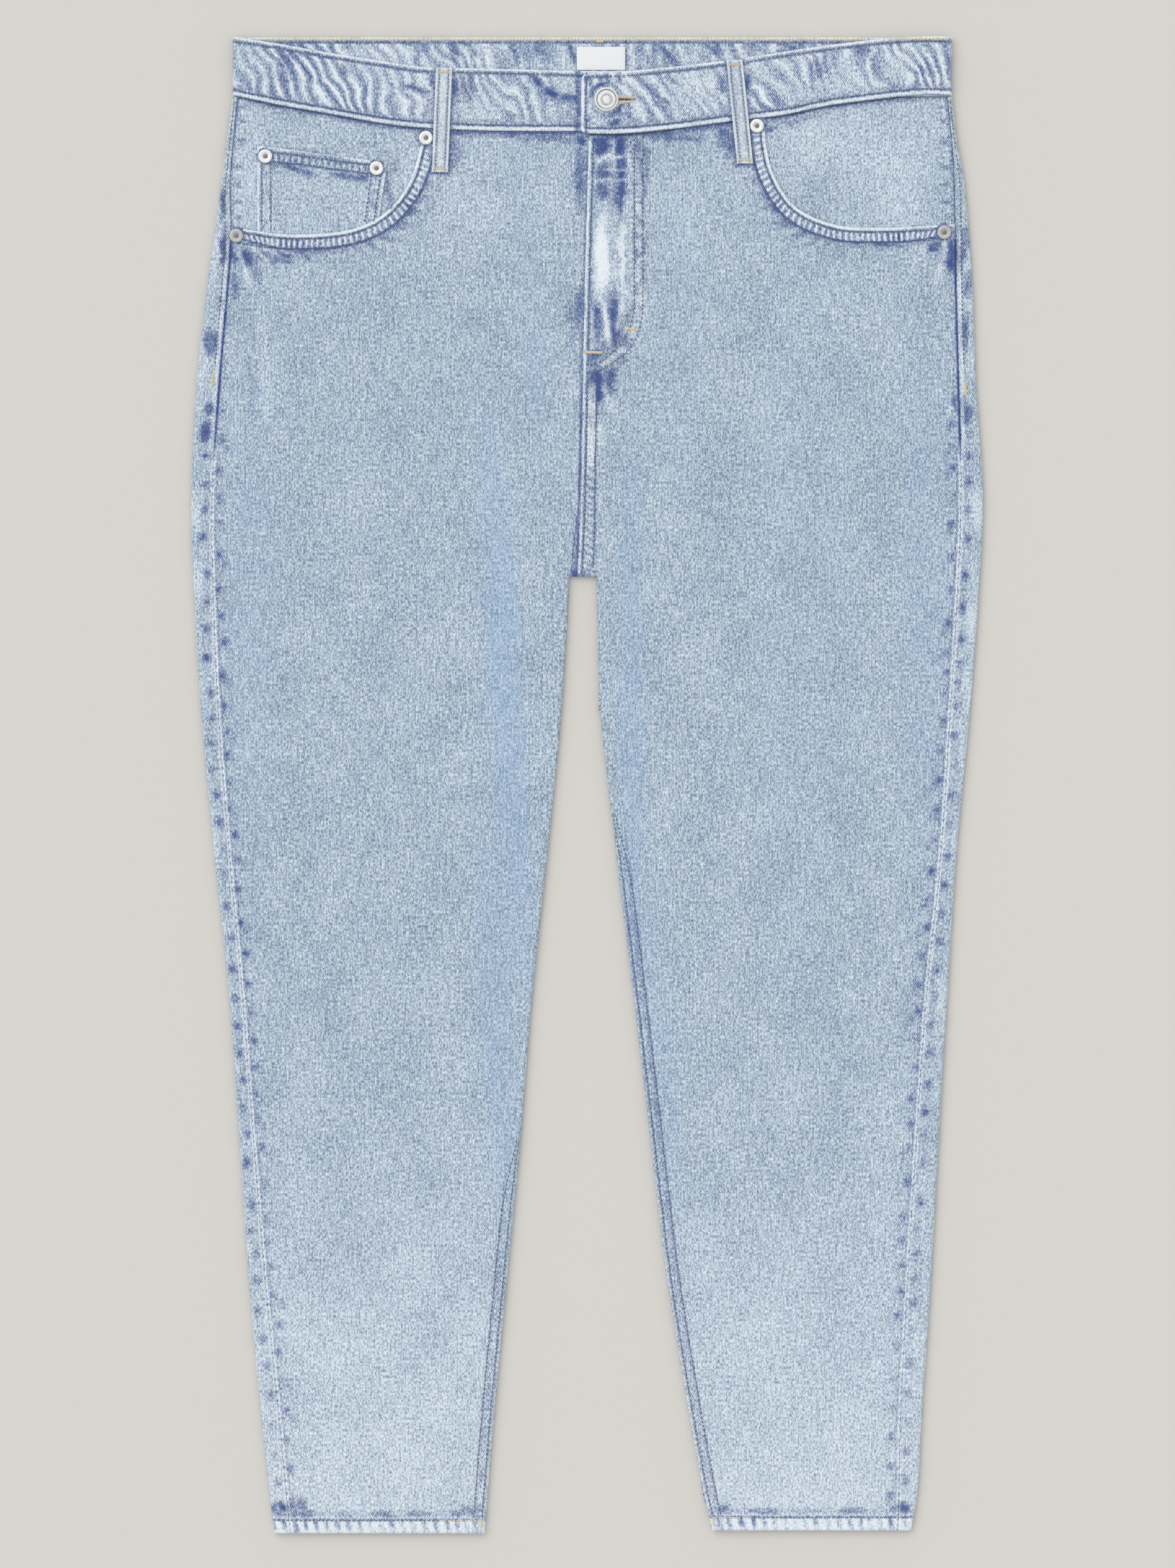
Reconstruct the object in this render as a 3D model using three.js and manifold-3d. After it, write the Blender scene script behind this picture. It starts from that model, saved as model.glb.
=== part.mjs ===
// High-waisted tapered jeans in denim, laid flat on the back with the front up.
// Millimetres. +X goes to the wearer's left, +Y to the waist, +Z up off the surface.
// The origin is under the middle of the garment, on the surface that it lies on.
// side = -1 is the wearer's right half (X below zero), side = +1 the wearer's left half.

import * as THREE from 'three';
import { mergeVertices } from 'three/addons/utils/BufferGeometryUtils.js';
import Module from 'manifold-3d';

const wasm = await Module();
wasm.setup();

// Cloth and layers
const CLOTH = 1.2; // wall of one layer of denim
const GAP = 0.3; // between pieces that meet
const LAID = 5; // outer face of the front above the surface
const LAYER = CLOTH + GAP; // rise over one hidden layer
const HEM_DEPTH = 10; // turned hem
const HEM_CLOTH = 2.4; // wall of the turned hem
const HEM_RISE = 0.8; // how far the turned hem stands proud of the leg

// Waistband
const BAND_CLOTH = 2.4;
const BAND_TOP = 7; // outer face of the band's front
const BAND_BACK_TOP = 527; // top edge of the band's back half
const BAND_BACK_LOW = 485; // lower edge of the band's back half
const BAND_FOLD = { right: 249.75, left: 257 }; // where the band turns at each side
const UNDER_END = 30.75; // X of the covered end
const UNDER_TOP = 6.6; // outer face of the covered end
const OVER_TOP = UNDER_TOP + GAP + BAND_CLOTH; // outer face of the lapped end
const OVER_END = -4.25; // X of the lapped end
const LAP_FLAT = 38; // X up to which the lapped end lies level
const LAP_RAMP = 80; // X where it is back at the band's own height

// Fasteners and trim
const BUTTON = { x: 13.55, y: 482.75, radius: 8.5, shank: 2, thick: 2.8 };
const BUTTONHOLE = { eye: 2.5, slot: 1.6, end: 34.5 };
const RIVET = { radius: 4.85, thick: 1.2, nipple: 1.6, rise: 0.9 };
const LOOP = { width: 11.5, thick: 1.4 };
const LABEL = { left: -7.25, right: 26.75, top: 520.25, low: 503.75, thick: 1 };

// Seams
const CROTCH_Y = 146.75;
const CROTCH_X = -6.75; // where the two centre seams meet the inseams
const CROTCH_FAN = [0.95, 0.85]; // upward slope of the first rows above the crotch
const FAN_REACH = 8; // how far from the inner edge that slope lasts
const INNER_STEPS = [28, 14, LAID / 2, 0.75, 0]; // columns measured in from the inner edge
const CENTRE_BACK_X = 8.75; // centre back seam at the waistband
const YOKE = { side: 447.75, centre: 409.75 }; // yoke seam heights
const BACK_RISE = { start: 430, end: 446 }; // the back steps over the belt loops here
const FLY_UNDERLAP = 12; // how far the right front runs under the left one
const FLY = { closed: 288, joined: 272, level: 240 }; // heights where the lap starts and ends

// Pocket layers under the front
const FACING_UNDER = 11; // facing past the pocket edge
const COIN_UNDER = 6; // coin pocket past the pocket edge
const POCKET_STEPS = [0, 7, 12, 24]; // columns measured in from the outer edge
const BACK_POCKET = { centre: 130, top: 398, foot: 262, point: 240, width: 152, taper: 9 };

// Outline of each half: the outer fold, how far the outseam lies inside it, and the inner leg.
const OUTLINE = {
  right: [
    { y: -527.3, fold: 220.75, inset: 11.5, inner: 72.25 },
    { y: -446.3, fold: 229.75, inset: 12.5, inner: 65.75 },
    { y: -346.3, fold: 238.75, inset: 11.5, inner: 56.25 },
    { y: -246.3, fold: 245.5, inset: 10, inner: 46.75 },
    { y: -146.3, fold: 252.75, inset: 9.5, inner: 38.5 },
    { y: -46.3, fold: 263.25, inset: 10.75, inner: 27.75 },
    { y: 53.75, fold: 272.5, inset: 12.25, inner: 18 },
    { y: 146.75, fold: 277.85, inset: 13.85, inner: 12.75 },
    { y: 203.75, fold: 279.25, inset: 14.75, inner: 12.75 },
    { y: 283.75, fold: 275.25, inset: 16, inner: 12.75 },
    { y: 353.75, fold: 267.75, inset: 14.5, inner: 12.75 },
    { y: 387.25, fold: 263, inset: 12, inner: 12.75 },
    { y: 423.75, fold: 258, inset: 6.25, inner: 12.75 },
    { y: 485.75, fold: 250, inset: 3.5, inner: 12.75 },
  ],
  left: [
    { y: -525.3, fold: 228.5, inset: 9.5, inner: 88.25 },
    { y: -496.3, fold: 233.25, inset: 13.25, inner: 81.75 },
    { y: -446.3, fold: 236, inset: 15, inner: 72.5 },
    { y: -346.3, fold: 242.75, inset: 16.5, inner: 56.25 },
    { y: -246.3, fold: 248.25, inset: 15.75, inner: 44.25 },
    { y: -146.3, fold: 254.25, inset: 14.75, inner: 32.5 },
    { y: -46.3, fold: 260.75, inset: 11, inner: 20.25 },
    { y: 53.75, fold: 270.25, inset: 14, inner: 9.25 },
    { y: 146.75, fold: 277, inset: 15.25, inner: 6.75 },
    { y: 203.75, fold: 279.25, inset: 15.5, inner: 6.75 },
    { y: 283.75, fold: 274.25, inset: 12.5, inner: 6.75 },
    { y: 353.75, fold: 271.75, inset: 11.75, inner: 6.75 },
    { y: 423.75, fold: 266.25, inset: 7.25, inner: 6.75 },
    { y: 453.75, fold: 260.75, inset: 3.5, inner: 6.75 },
    { y: 485.75, fold: 257.25, inset: 3.5, inner: 6.75 },
  ],
};

// Pocket opening, from the outseam round to the waist seam.
const POCKET_EDGE = {
  right: [
    { x: 250.75, y: 392.75 },
    { x: 208, y: 387.8 },
    { x: 163.25, y: 392.2 },
    { x: 140, y: 405 },
    { x: 124.75, y: 426.2 },
    { x: 117.5, y: 450 },
    { x: 114.25, y: 462.75 },
  ],
  left: [
    { x: 259.5, y: 395.25 },
    { x: 209.75, y: 392.75 },
    { x: 174.75, y: 394.75 },
    { x: 146.75, y: 407.5 },
    { x: 131.5, y: 430 },
    { x: 126, y: 452 },
    { x: 125.25, y: 470.45 },
  ],
};

// Front of the waistband: top and lower edge.
const BAND_EDGE = {
  right: [
    { x: 249.5, top: 527.25, low: 485.75 },
    { x: 218.25, top: 522.5, low: 479.25 },
    { x: 181.75, top: 516, low: 472.75 },
    { x: 145.25, top: 510.25, low: 466.25 },
    { x: 114.25, top: 506, low: 462.75 },
    { x: 64.25, top: 504.75, low: 460.75 },
    { x: 2.25, top: 503.25, low: 460.5 },
    { x: -UNDER_END, top: 503.25, low: 460.8 },
  ],
  left: [
    { x: OVER_END, top: 502.25, low: 458.75 },
    { x: 19.75, top: 502.25, low: 458.5 },
    { x: 53.25, top: 505.25, low: 461.25 },
    { x: 102.75, top: 511.25, low: 467.75 },
    { x: 140.25, top: 517, low: 472.25 },
    { x: 169.75, top: 521.25, low: 478.5 },
    { x: 209.75, top: 526, low: 483.75 },
    { x: 236.25, top: 527.4, low: 486.25 },
    { x: 256.75, top: 527.5, low: 485.75 },
  ],
};

// Fly edge and centre front seam, from the crotch to the waistband.
const FLY_LINE = [
  { y: 146.75, x: -6.75 },
  { y: 183.75, x: -5.25 },
  { y: 263.75, x: -3.25 },
  { y: 343.75, x: -1.95 },
  { y: 458.75, x: 1.25 },
];

// Rows of a front above the crotch: height on the outseam, how far the row leans down into the
// panel there, and height on the centre seam.
const FRONT_ROWS = [
  { outer: 148.5, lean: 0, centre: 147.5 },
  { outer: 151, lean: 0, centre: 149.25 },
  { outer: 175, lean: 0, centre: 168 },
  { outer: 205, lean: 0, centre: 192 },
  { outer: 240, lean: 0, centre: 216 },
  { outer: 275, lean: 0.15, centre: FLY.level },
  { outer: 305, lean: 0.3, centre: 256 },
  { outer: 330, lean: 0.6, centre: FLY.joined },
  { outer: 352, lean: 0.85, centre: FLY.closed },
  { outer: 366, lean: 1, centre: 300 },
  { outer: 380.25, lean: 1.2, centre: 312 },
];

// Rows of a front along the pocket edge: share of the edge's length, and height on the centre seam.
// The first ones turn the corner: they run across and lean down, and the others start square.
const POCKET_ROWS = [
  { share: 0, centre: 324, across: 1, lean: 1.35 },
  { share: 0.09, centre: 336, across: 0.55, lean: 1.2 },
  { share: 0.18, centre: 348, across: 0.1, lean: 1.05 },
  { share: 0.3, centre: 360 },
  { share: 0.42, centre: 374 },
  { share: 0.54, centre: 390 },
  { share: 0.66, centre: 406 },
  { share: 0.78, centre: 424 },
  { share: 0.89, centre: 442 },
  { share: 1, centre: 460 },
];
const COIN_SHARE = { start: 0.05, end: 0.7 }; // stretch of the edge that lies over the coin pocket

const BELT_LOOPS = [
  { name: 'belt_loop_front_right', topX: -100.75, topY: 505.25, lowX: -103.75, lowY: 431.75 },
  { name: 'belt_loop_front_left', topX: 103.75, topY: 510.75, lowX: 111.25, lowY: 437.75 },
];
const BACK_LOOPS = [
  { name: 'belt_loop_back_right', x: -150 },
  { name: 'belt_loop_back_centre', x: CENTRE_BACK_X },
  { name: 'belt_loop_back_left', x: 158 },
];
const BACK_LOOP_LOW = 454;

const RIVETS = [
  { name: 'rivet_pocket_right_waist', x: -113.6, y: 456, z: 6.8 },
  { name: 'rivet_pocket_right_side', x: -247.25, y: 387.05, z: 7.3 },
  { name: 'rivet_coin_pocket_outer', x: -226.75, y: 443, z: 6.8 },
  { name: 'rivet_coin_pocket_inner', x: -148.45, y: 434.55, z: 6.8 },
  { name: 'rivet_pocket_left_waist', x: 119.6, y: 464.4, z: 6.9 },
  { name: 'rivet_pocket_left_side', x: 251.6, y: 389.4, z: 6.9 },
];

const FINISH = {
  denim: { color: 0xaabacb, roughness: 0.92, metalness: 0 },
  pale_denim: { color: 0xc4d0dc, roughness: 0.92, metalness: 0 },
  label: { color: 0xf2f4f6, roughness: 0.7, metalness: 0 },
  button_metal: { color: 0xd9d9d7, roughness: 0.38, metalness: 0.9 },
};

const group = new THREE.Group();

function addMesh(name, geometry, finish) {
  const mesh = new THREE.Mesh(geometry, new THREE.MeshStandardMaterial(FINISH[finish]));
  mesh.name = name;
  group.add(mesh);
}

const sideName = (side) => (side < 0 ? 'right' : 'left');
const lerp = THREE.MathUtils.lerp;
const clamp = THREE.MathUtils.clamp;
const ramp = (value, zeroAt, oneAt) => clamp((value - zeroAt) / (oneAt - zeroAt), 0, 1);

// Smooth value of one column of a table whose rows are in order of another column.
function curveAt(table, along, column, value) {
  const rows = table[0][along] < table[table.length - 1][along] ? table : [...table].reverse();
  const last = rows.length - 1;
  const place = clamp(value, rows[0][along], rows[last][along]);
  let i = 0;
  while (i < last - 1 && place > rows[i + 1][along]) i += 1;
  const slope = (k) => {
    const before = rows[Math.max(k - 1, 0)];
    const after = rows[Math.min(k + 1, last)];
    return (after[column] - before[column]) / (after[along] - before[along]);
  };
  const step = rows[i + 1][along] - rows[i][along];
  const t = (place - rows[i][along]) / step;
  const rise = rows[i][column] * (1 + 2 * t) * (1 - t) ** 2 + rows[i + 1][column] * t * t * (3 - 2 * t);
  return rise + step * (slope(i) * t * (1 - t) ** 2 - slope(i + 1) * t * t * (1 - t));
}

const outline = (side, column, y) => curveAt(OUTLINE[sideName(side)], 'y', column, y);
const foldX = (side, y) => side * outline(side, 'fold', y);
const innerX = (side, y) => side * outline(side, 'inner', y);
const outseamX = (side, y) => side * (outline(side, 'fold', y) - outline(side, 'inset', y));
const flyX = (y) => curveAt(FLY_LINE, 'y', 'x', y);
const centreBackX = (y) => lerp(CROTCH_X, CENTRE_BACK_X, (y - CROTCH_Y) / (BAND_BACK_LOW - CROTCH_Y));
const waistSeam = (side, x) => curveAt(BAND_EDGE[sideName(side)], 'x', 'low', side * x);

// Edges round the gap between the legs: each inner leg in short lengths, and the crotch.
function notchEdges() {
  const steps = 40;
  const edges = [[innerX(-1, CROTCH_Y), CROTCH_Y, innerX(1, CROTCH_Y), CROTCH_Y]];
  for (const side of [-1, 1]) {
    for (let k = 0; k < steps; k += 1) {
      const low = lerp(-540, CROTCH_Y, k / steps);
      const high = lerp(-540, CROTCH_Y, (k + 1) / steps);
      edges.push([innerX(side, low), low, innerX(side, high), high]);
    }
  }
  return edges;
}

const NOTCH = notchEdges();

// Distance from the gap between the legs, below zero inside it.
function notchDistance(x, y) {
  const reach = NOTCH.map(([ax, ay, bx, by]) => {
    const along = ((x - ax) * (bx - ax) + (y - ay) * (by - ay)) / ((bx - ax) ** 2 + (by - ay) ** 2);
    const t = clamp(along, 0, 1);
    return Math.hypot(x - lerp(ax, bx, t), y - lerp(ay, by, t));
  });
  const inside = y < CROTCH_Y && x > innerX(-1, y) && x < innerX(1, y);
  return (inside ? -1 : 1) * Math.min(...reach);
}

// Heading from a place towards the gap between the legs.
function notchHeading(x, y) {
  const step = 0.05;
  const dx = notchDistance(x + step, y) - notchDistance(x - step, y);
  const dy = notchDistance(x, y + step) - notchDistance(x, y - step);
  const size = Math.hypot(dx, dy) || 1;
  return { x: -dx / size, y: -dy / size };
}

const hemShare = (side, y) => (y < OUTLINE[sideName(side)][0].y + HEM_DEPTH + 0.01 ? 1 : 0);

// One point of a wall's outer face, rolled down to half height where it nears the inner leg.
// face = 1 is the front's outer face, face = -1 the back's.
function clothPoint({ x, y, face, level, thick }) {
  const middle = LAID / 2;
  const reach = Math.max(notchDistance(x, y), 0);
  const turn = Math.acos(1 - Math.min(reach / middle, 1));
  const heading = notchHeading(x, y);
  const edge = middle + (face * GAP) / 2;
  return {
    p: new THREE.Vector3(x, y, edge + (level - edge) * Math.sin(turn)),
    n: new THREE.Vector3(heading.x * Math.cos(turn), heading.y * Math.cos(turn), face * Math.sin(turn)),
    thick: reach < middle ? CLOTH : thick,
  };
}

// A closed wall: rows of outer points, an inner face set in by each point's thickness, and rims.
function wall(rows) {
  const high = rows.length;
  const wide = rows[0].length;
  const outer = rows.flat().map(({ p }) => p);
  const inner = rows.flat().map(({ p, n, thick }) => p.clone().addScaledVector(n, -thick));
  const at = (i, j) => i * wide + j;
  const faces = [];
  const quad = (a, b, c, d) => faces.push(a, b, c, a, c, d);
  const total = high * wide;
  for (let i = 0; i < high - 1; i += 1) {
    for (let j = 0; j < wide - 1; j += 1) {
      quad(at(i, j), at(i, j + 1), at(i + 1, j + 1), at(i + 1, j));
      quad(total + at(i, j), total + at(i + 1, j), total + at(i + 1, j + 1), total + at(i, j + 1));
    }
  }
  const border = [];
  for (let j = 0; j < wide - 1; j += 1) border.push(at(0, j));
  for (let i = 0; i < high - 1; i += 1) border.push(at(i, wide - 1));
  for (let j = wide - 1; j > 0; j -= 1) border.push(at(high - 1, j));
  for (let i = high - 1; i > 0; i -= 1) border.push(at(i, 0));
  border.forEach((a, k) => {
    const b = border[(k + 1) % border.length];
    quad(a, total + a, total + b, b);
  });
  const geometry = new THREE.BufferGeometry();
  const places = [...outer, ...inner].flatMap((v) => [v.x, v.y, v.z]);
  geometry.setAttribute('position', new THREE.Float32BufferAttribute(places, 3));
  geometry.setIndex(faces);
  return signedVolume(geometry) < 0 ? flipped(geometry) : geometry;
}

function signedVolume(geometry) {
  const place = geometry.getAttribute('position');
  const index = geometry.getIndex();
  const corner = (k) => new THREE.Vector3().fromBufferAttribute(place, index.getX(k));
  let sum = 0;
  for (let k = 0; k < index.count; k += 3) {
    sum += corner(k).dot(corner(k + 1).cross(corner(k + 2)));
  }
  return sum / 6;
}

function flipped(geometry) {
  const order = Array.from(geometry.getIndex().array);
  for (let k = 0; k < order.length; k += 3) [order[k], order[k + 1]] = [order[k + 1], order[k]];
  geometry.setIndex(order);
  return geometry;
}

// A flat patch of cloth with the given outline, its lower face at a height.
function patch(points, height, thick) {
  const geometry = new THREE.ExtrudeGeometry(new THREE.Shape(points), { depth: thick, bevelEnabled: false });
  geometry.translate(0, 0, height);
  return geometry;
}

// Pocket edge as a smooth curve, from the outseam to the waist seam.
function pocketCurve(side) {
  const points = POCKET_EDGE[sideName(side)].map(({ x, y }) => new THREE.Vector3(side * x, y, 0));
  return new THREE.CatmullRomCurve3(points);
}

// A place a given distance past the pocket edge, into the front.
function pastPocket(side, share, distance) {
  const curve = pocketCurve(side);
  const place = curve.getPointAt(share);
  const along = curve.getTangentAt(share);
  return { x: place.x + along.y * distance * -side, y: place.y + along.x * distance * side };
}

// Rows of each leg below the crotch, from the hem up.
function legHeights(side) {
  const hem = OUTLINE[sideName(side)][0].y;
  const start = hem + HEM_DEPTH + 1;
  const steps = 13;
  const rest = Array.from({ length: steps }, (_, k) => lerp(start, CROTCH_Y - 3, k / steps));
  return [hem, hem + HEM_DEPTH, ...rest, CROTCH_Y - 8];
}

// Places of those columns on the row that ends at one point of the inner edge. Rows that end at
// the crotch fan upwards, away from its edge.
function innerPlaces(side, end) {
  return INNER_STEPS.map((d) => ({
    x: end.x + side * d,
    y: end.y + Math.min(d, FAN_REACH) * (end.fan || 0),
    inner: d,
  }));
}

// Inner edge of a half from the hem to the waist, with the centre seam given by a function.
function innerEdge(side, centreRows, centreX) {
  const legs = legHeights(side).map((y) => ({ x: innerX(side, y), y }));
  const corner = { x: innerX(side, CROTCH_Y), y: CROTCH_Y, fan: 0.85 };
  const joint = { x: CROTCH_X + (side * GAP) / 2, y: CROTCH_Y, fan: 1 };
  const centre = centreRows.map((y, k) => ({ x: centreX(y), y, fan: CROTCH_FAN[k] || 0 }));
  return [...legs, corner, joint, ...centre];
}

function frontPanel(side) {
  const legs = legHeights(side);
  const curve = pocketCurve(side);
  const flyEdge = (y) => {
    if (side > 0) return flyX(y) + GAP / 2;
    return flyX(y) - GAP / 2 + (FLY_UNDERLAP + GAP / 2) * ramp(y, FLY.joined, FLY.closed);
  };
  const centreRows = [...FRONT_ROWS, ...POCKET_ROWS].map((row) => row.centre);
  const inner = innerEdge(side, centreRows, flyEdge);
  const seamGap = (y) => outseamX(side, y) - (side * GAP) / 2;
  const outer = [
    ...legs.map((y) => ({ x: seamGap(y), y, dx: -side, dy: 0 })),
    { x: seamGap(CROTCH_Y - 3), y: CROTCH_Y - 3, dx: -side, dy: 0 },
    { x: seamGap(CROTCH_Y), y: CROTCH_Y, dx: -side, dy: 0 },
    ...FRONT_ROWS.map(({ outer: y, lean }) => ({ x: seamGap(y), y, dx: -side, dy: -lean })),
    ...POCKET_ROWS.map(({ share, across, lean }) => {
      const place = curve.getPointAt(share);
      const next = pastPocket(side, share, 1);
      const dx = across ? -side * across : next.x - place.x;
      const dy = lean ? -lean : next.y - place.y;
      return { x: place.x, y: place.y, dx, dy, share };
    }),
  ];
  const rows = outer.map((start, i) => {
    const end = inner[i];
    const top = i === outer.length - 1;
    const places = POCKET_STEPS.map((d) => ({ x: start.x + start.dx * d, y: start.y + start.dy * d, near: d }));
    const far = innerPlaces(side, end);
    const from = places[places.length - 1];
    const middle = [0.25, 0.5, 0.75].map((t) => ({ x: lerp(from.x, far[0].x, t), y: lerp(from.y, far[0].y, t) }));
    return [...places, ...middle, ...far].map((place) => {
      const y = top ? waistSeam(side, place.x) - GAP : place.y;
      const hem = hemShare(side, y);
      return clothPoint({
        x: place.x,
        y,
        face: 1,
        level: LAID + HEM_RISE * hem + pocketRise(side, start, place) + flyRise(side, end, place),
        thick: hem ? HEM_CLOTH : CLOTH,
      });
    });
  });
  return wall(rows);
}

// Rise of a front over the facing and the coin pocket, near its outer edge.
function pocketRise(side, start, place) {
  if (place.near === undefined) return 0;
  const facing = start.share === undefined ? ramp(start.y, 352, 380) : 1;
  const coinStretch = start.share > COIN_SHARE.start && start.share < COIN_SHARE.end;
  const coin = side < 0 && coinStretch && place.near < 8 ? 1 : 0;
  const fade = place.near > 20 ? 0 : 1;
  return (LAYER + 0.05) * (facing * fade + coin);
}

// Rise of the left front where it laps over the right one.
function flyRise(side, end, place) {
  if (side < 0 || place.inner === undefined || place.inner > 20) return 0;
  return (LAYER + 0.05) * ramp(end.y, FLY.level, FLY.joined);
}

// Height of the back's outer face: over the belt loops at the waist, and over the back pocket.
function backLevel(side, x, y) {
  const waist = LAYER * ramp(y, BACK_RISE.start, BACK_RISE.end);
  const aside = Math.abs(side * x - BACK_POCKET.centre) - BACK_POCKET.width / 2;
  const above = Math.max(y - BACK_POCKET.top, BACK_POCKET.point - y);
  const pocket = (LAYER + 0.1) * ramp(Math.max(aside, above), 52, 12);
  return Math.max(waist, pocket);
}

// A piece of the back: rows from the outseam on top, round the outer fold, to the inner edge.
function backPiece(side, heights, inner) {
  const turns = 5;
  const middleSteps = 5;
  const rows = heights.map((y, i) => {
    const end = inner[i];
    const hem = hemShare(side, y);
    const thick = hem ? HEM_CLOTH : CLOTH;
    const top = LAID + HEM_RISE * hem;
    const low = backLevel(side, foldX(side, y), y);
    const radius = (top - low) / 2;
    const seam = outseamX(side, y) + (side * GAP) / 2;
    const points = [{ p: new THREE.Vector3(seam, y, top), n: new THREE.Vector3(0, 0, 1), thick }];
    for (let k = 0; k <= turns; k += 1) {
      const angle = Math.PI / 2 - (Math.PI * k) / turns;
      const x = foldX(side, y) - side * radius * (1 - Math.cos(angle));
      const z = (top + low) / 2 + radius * Math.sin(angle);
      const n = new THREE.Vector3(side * Math.cos(angle), 0, Math.sin(angle));
      points.push({ p: new THREE.Vector3(x, y, z), n, thick });
    }
    const start = points[points.length - 1].p;
    const far = innerPlaces(side, end).slice(1);
    const middle = Array.from({ length: middleSteps }, (_, k) => {
      const t = (k + 1) / (middleSteps + 1);
      return { x: lerp(start.x, far[0].x, t), y: lerp(start.y, far[0].y, t) };
    });
    [...middle, ...far].forEach(({ x, y: height }) => {
      points.push(clothPoint({ x, y: height, face: -1, level: backLevel(side, x, height), thick }));
    });
    return points;
  });
  return wall(rows);
}

const centreBack = (side) => (y) => centreBackX(y) + (side * GAP) / 2;

function backPanel(side) {
  const steps = 11;
  const share = Array.from({ length: steps }, (_, k) => ((k + 1) / steps));
  const sideTop = YOKE.side - GAP / 2;
  const centreTop = YOKE.centre - GAP / 2;
  const upper = [148.5, 151, ...share.map((t) => lerp(151, sideTop, t))];
  const centreRows = [147.5, 149.25, ...share.map((t) => lerp(149.25, centreTop, t))];
  const heights = [...legHeights(side), CROTCH_Y - 3, CROTCH_Y, ...upper];
  return backPiece(side, heights, innerEdge(side, centreRows, centreBack(side)));
}

function yoke(side) {
  const share = [0, 0.2, 0.45, 0.7, 1];
  const top = BAND_BACK_LOW - GAP;
  const heights = share.map((t) => lerp(YOKE.side + GAP / 2, top, t));
  const inner = share.map((t) => {
    const y = lerp(YOKE.centre + GAP / 2, top, t);
    return { x: centreBack(side)(y), y };
  });
  return backPiece(side, heights, inner);
}

// One section across the waistband: a lower and an upper point of its outer face.
function bandSection(x, z, angle, low, top) {
  const n = new THREE.Vector3(Math.cos(angle), 0, Math.sin(angle));
  return [low, top].map((y) => ({ p: new THREE.Vector3(x, y, z), n, thick: BAND_CLOTH }));
}

function bandFront(side, x, level) {
  const table = BAND_EDGE[sideName(side)];
  const low = curveAt(table, 'x', 'low', side * x);
  const top = curveAt(table, 'x', 'top', side * x);
  return bandSection(x, level, Math.PI / 2, low, top);
}

// The band turns round its fold at one side, from the front to the back or the other way.
function bandTurn(side, downwards) {
  const turns = 5;
  const radius = (BAND_TOP - LAYER) / 2;
  const middle = (BAND_TOP + LAYER) / 2;
  const sections = [];
  for (let k = 0; k <= turns; k += 1) {
    const share = downwards ? k / turns : 1 - k / turns;
    const rise = Math.PI / 2 - Math.PI * share;
    const x = side * (BAND_FOLD[sideName(side)] - radius * (1 - Math.cos(rise)));
    const low = lerp(485.75, BAND_BACK_LOW, share);
    const top = lerp(527.4, BAND_BACK_TOP, share);
    const angle = side > 0 ? rise : Math.PI - rise;
    sections.push(bandSection(x, middle + radius * Math.sin(rise), angle, low, top));
  }
  return sections;
}

function waistband() {
  const underX = [UNDER_END, 14, -2.25, -32, -64, -90, -114, -145, -182, -218, -238];
  const backX = Array.from({ length: 13 }, (_, k) => lerp(-240, 248, k / 12));
  const overX = [245, 236, 210, 170, 140, 103, LAP_RAMP, 60, LAP_FLAT, 20, 6, 1];
  const under = underX.map((x) => bandFront(-1, x, lerp(BAND_TOP, UNDER_TOP, ramp(x, -60, -12))));
  const back = backX.map((x) => bandSection(x, LAYER, -Math.PI / 2, BAND_BACK_LOW, BAND_BACK_TOP));
  const over = overX.map((x) => bandFront(1, x, lerp(BAND_TOP, OVER_TOP, ramp(x, LAP_RAMP, LAP_FLAT))));
  // The lapped end has a rounded upper corner and a small lower one.
  const rounded = [
    { x: -1.5, down: 1.2, up: 0.3 },
    { x: -3.4, down: 4, up: 1.2 },
    { x: OVER_END, down: 8, up: 3 },
  ].map(({ x, down, up }) => bandSection(x, OVER_TOP, Math.PI / 2, 458.6 + up, 502.25 - down));
  const band = wall([...under, ...bandTurn(-1, true), ...back, ...bandTurn(1, false), ...over, ...rounded]);
  return cut(band, buttonhole());
}

// Keyhole: a round eye for the shank and a slot away from the lapped end.
function buttonhole() {
  const eye = new THREE.CylinderGeometry(BUTTONHOLE.eye, BUTTONHOLE.eye, 4, 16);
  eye.rotateX(Math.PI / 2);
  eye.translate(BUTTON.x, BUTTON.y, UNDER_TOP + GAP / 2 + 2);
  const length = BUTTONHOLE.end - BUTTON.x;
  const slot = new THREE.BoxGeometry(length, BUTTONHOLE.slot, 4);
  slot.translate(BUTTON.x + length / 2, BUTTON.y, UNDER_TOP + GAP / 2 + 2);
  return solid(eye).add(solid(slot));
}

function solid(geometry) {
  const bare = geometry.clone();
  bare.deleteAttribute('normal');
  bare.deleteAttribute('uv');
  const merged = mergeVertices(bare, 1e-4);
  const vertProperties = new Float32Array(merged.getAttribute('position').array);
  const triVerts = new Uint32Array(merged.getIndex().array);
  return new wasm.Manifold(new wasm.Mesh({ numProp: 3, vertProperties, triVerts }));
}

function cut(geometry, tool) {
  const mesh = solid(geometry).subtract(tool).getMesh();
  const result = new THREE.BufferGeometry();
  result.setAttribute('position', new THREE.Float32BufferAttribute(mesh.vertProperties, 3));
  result.setIndex(Array.from(mesh.triVerts));
  return result;
}

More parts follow.
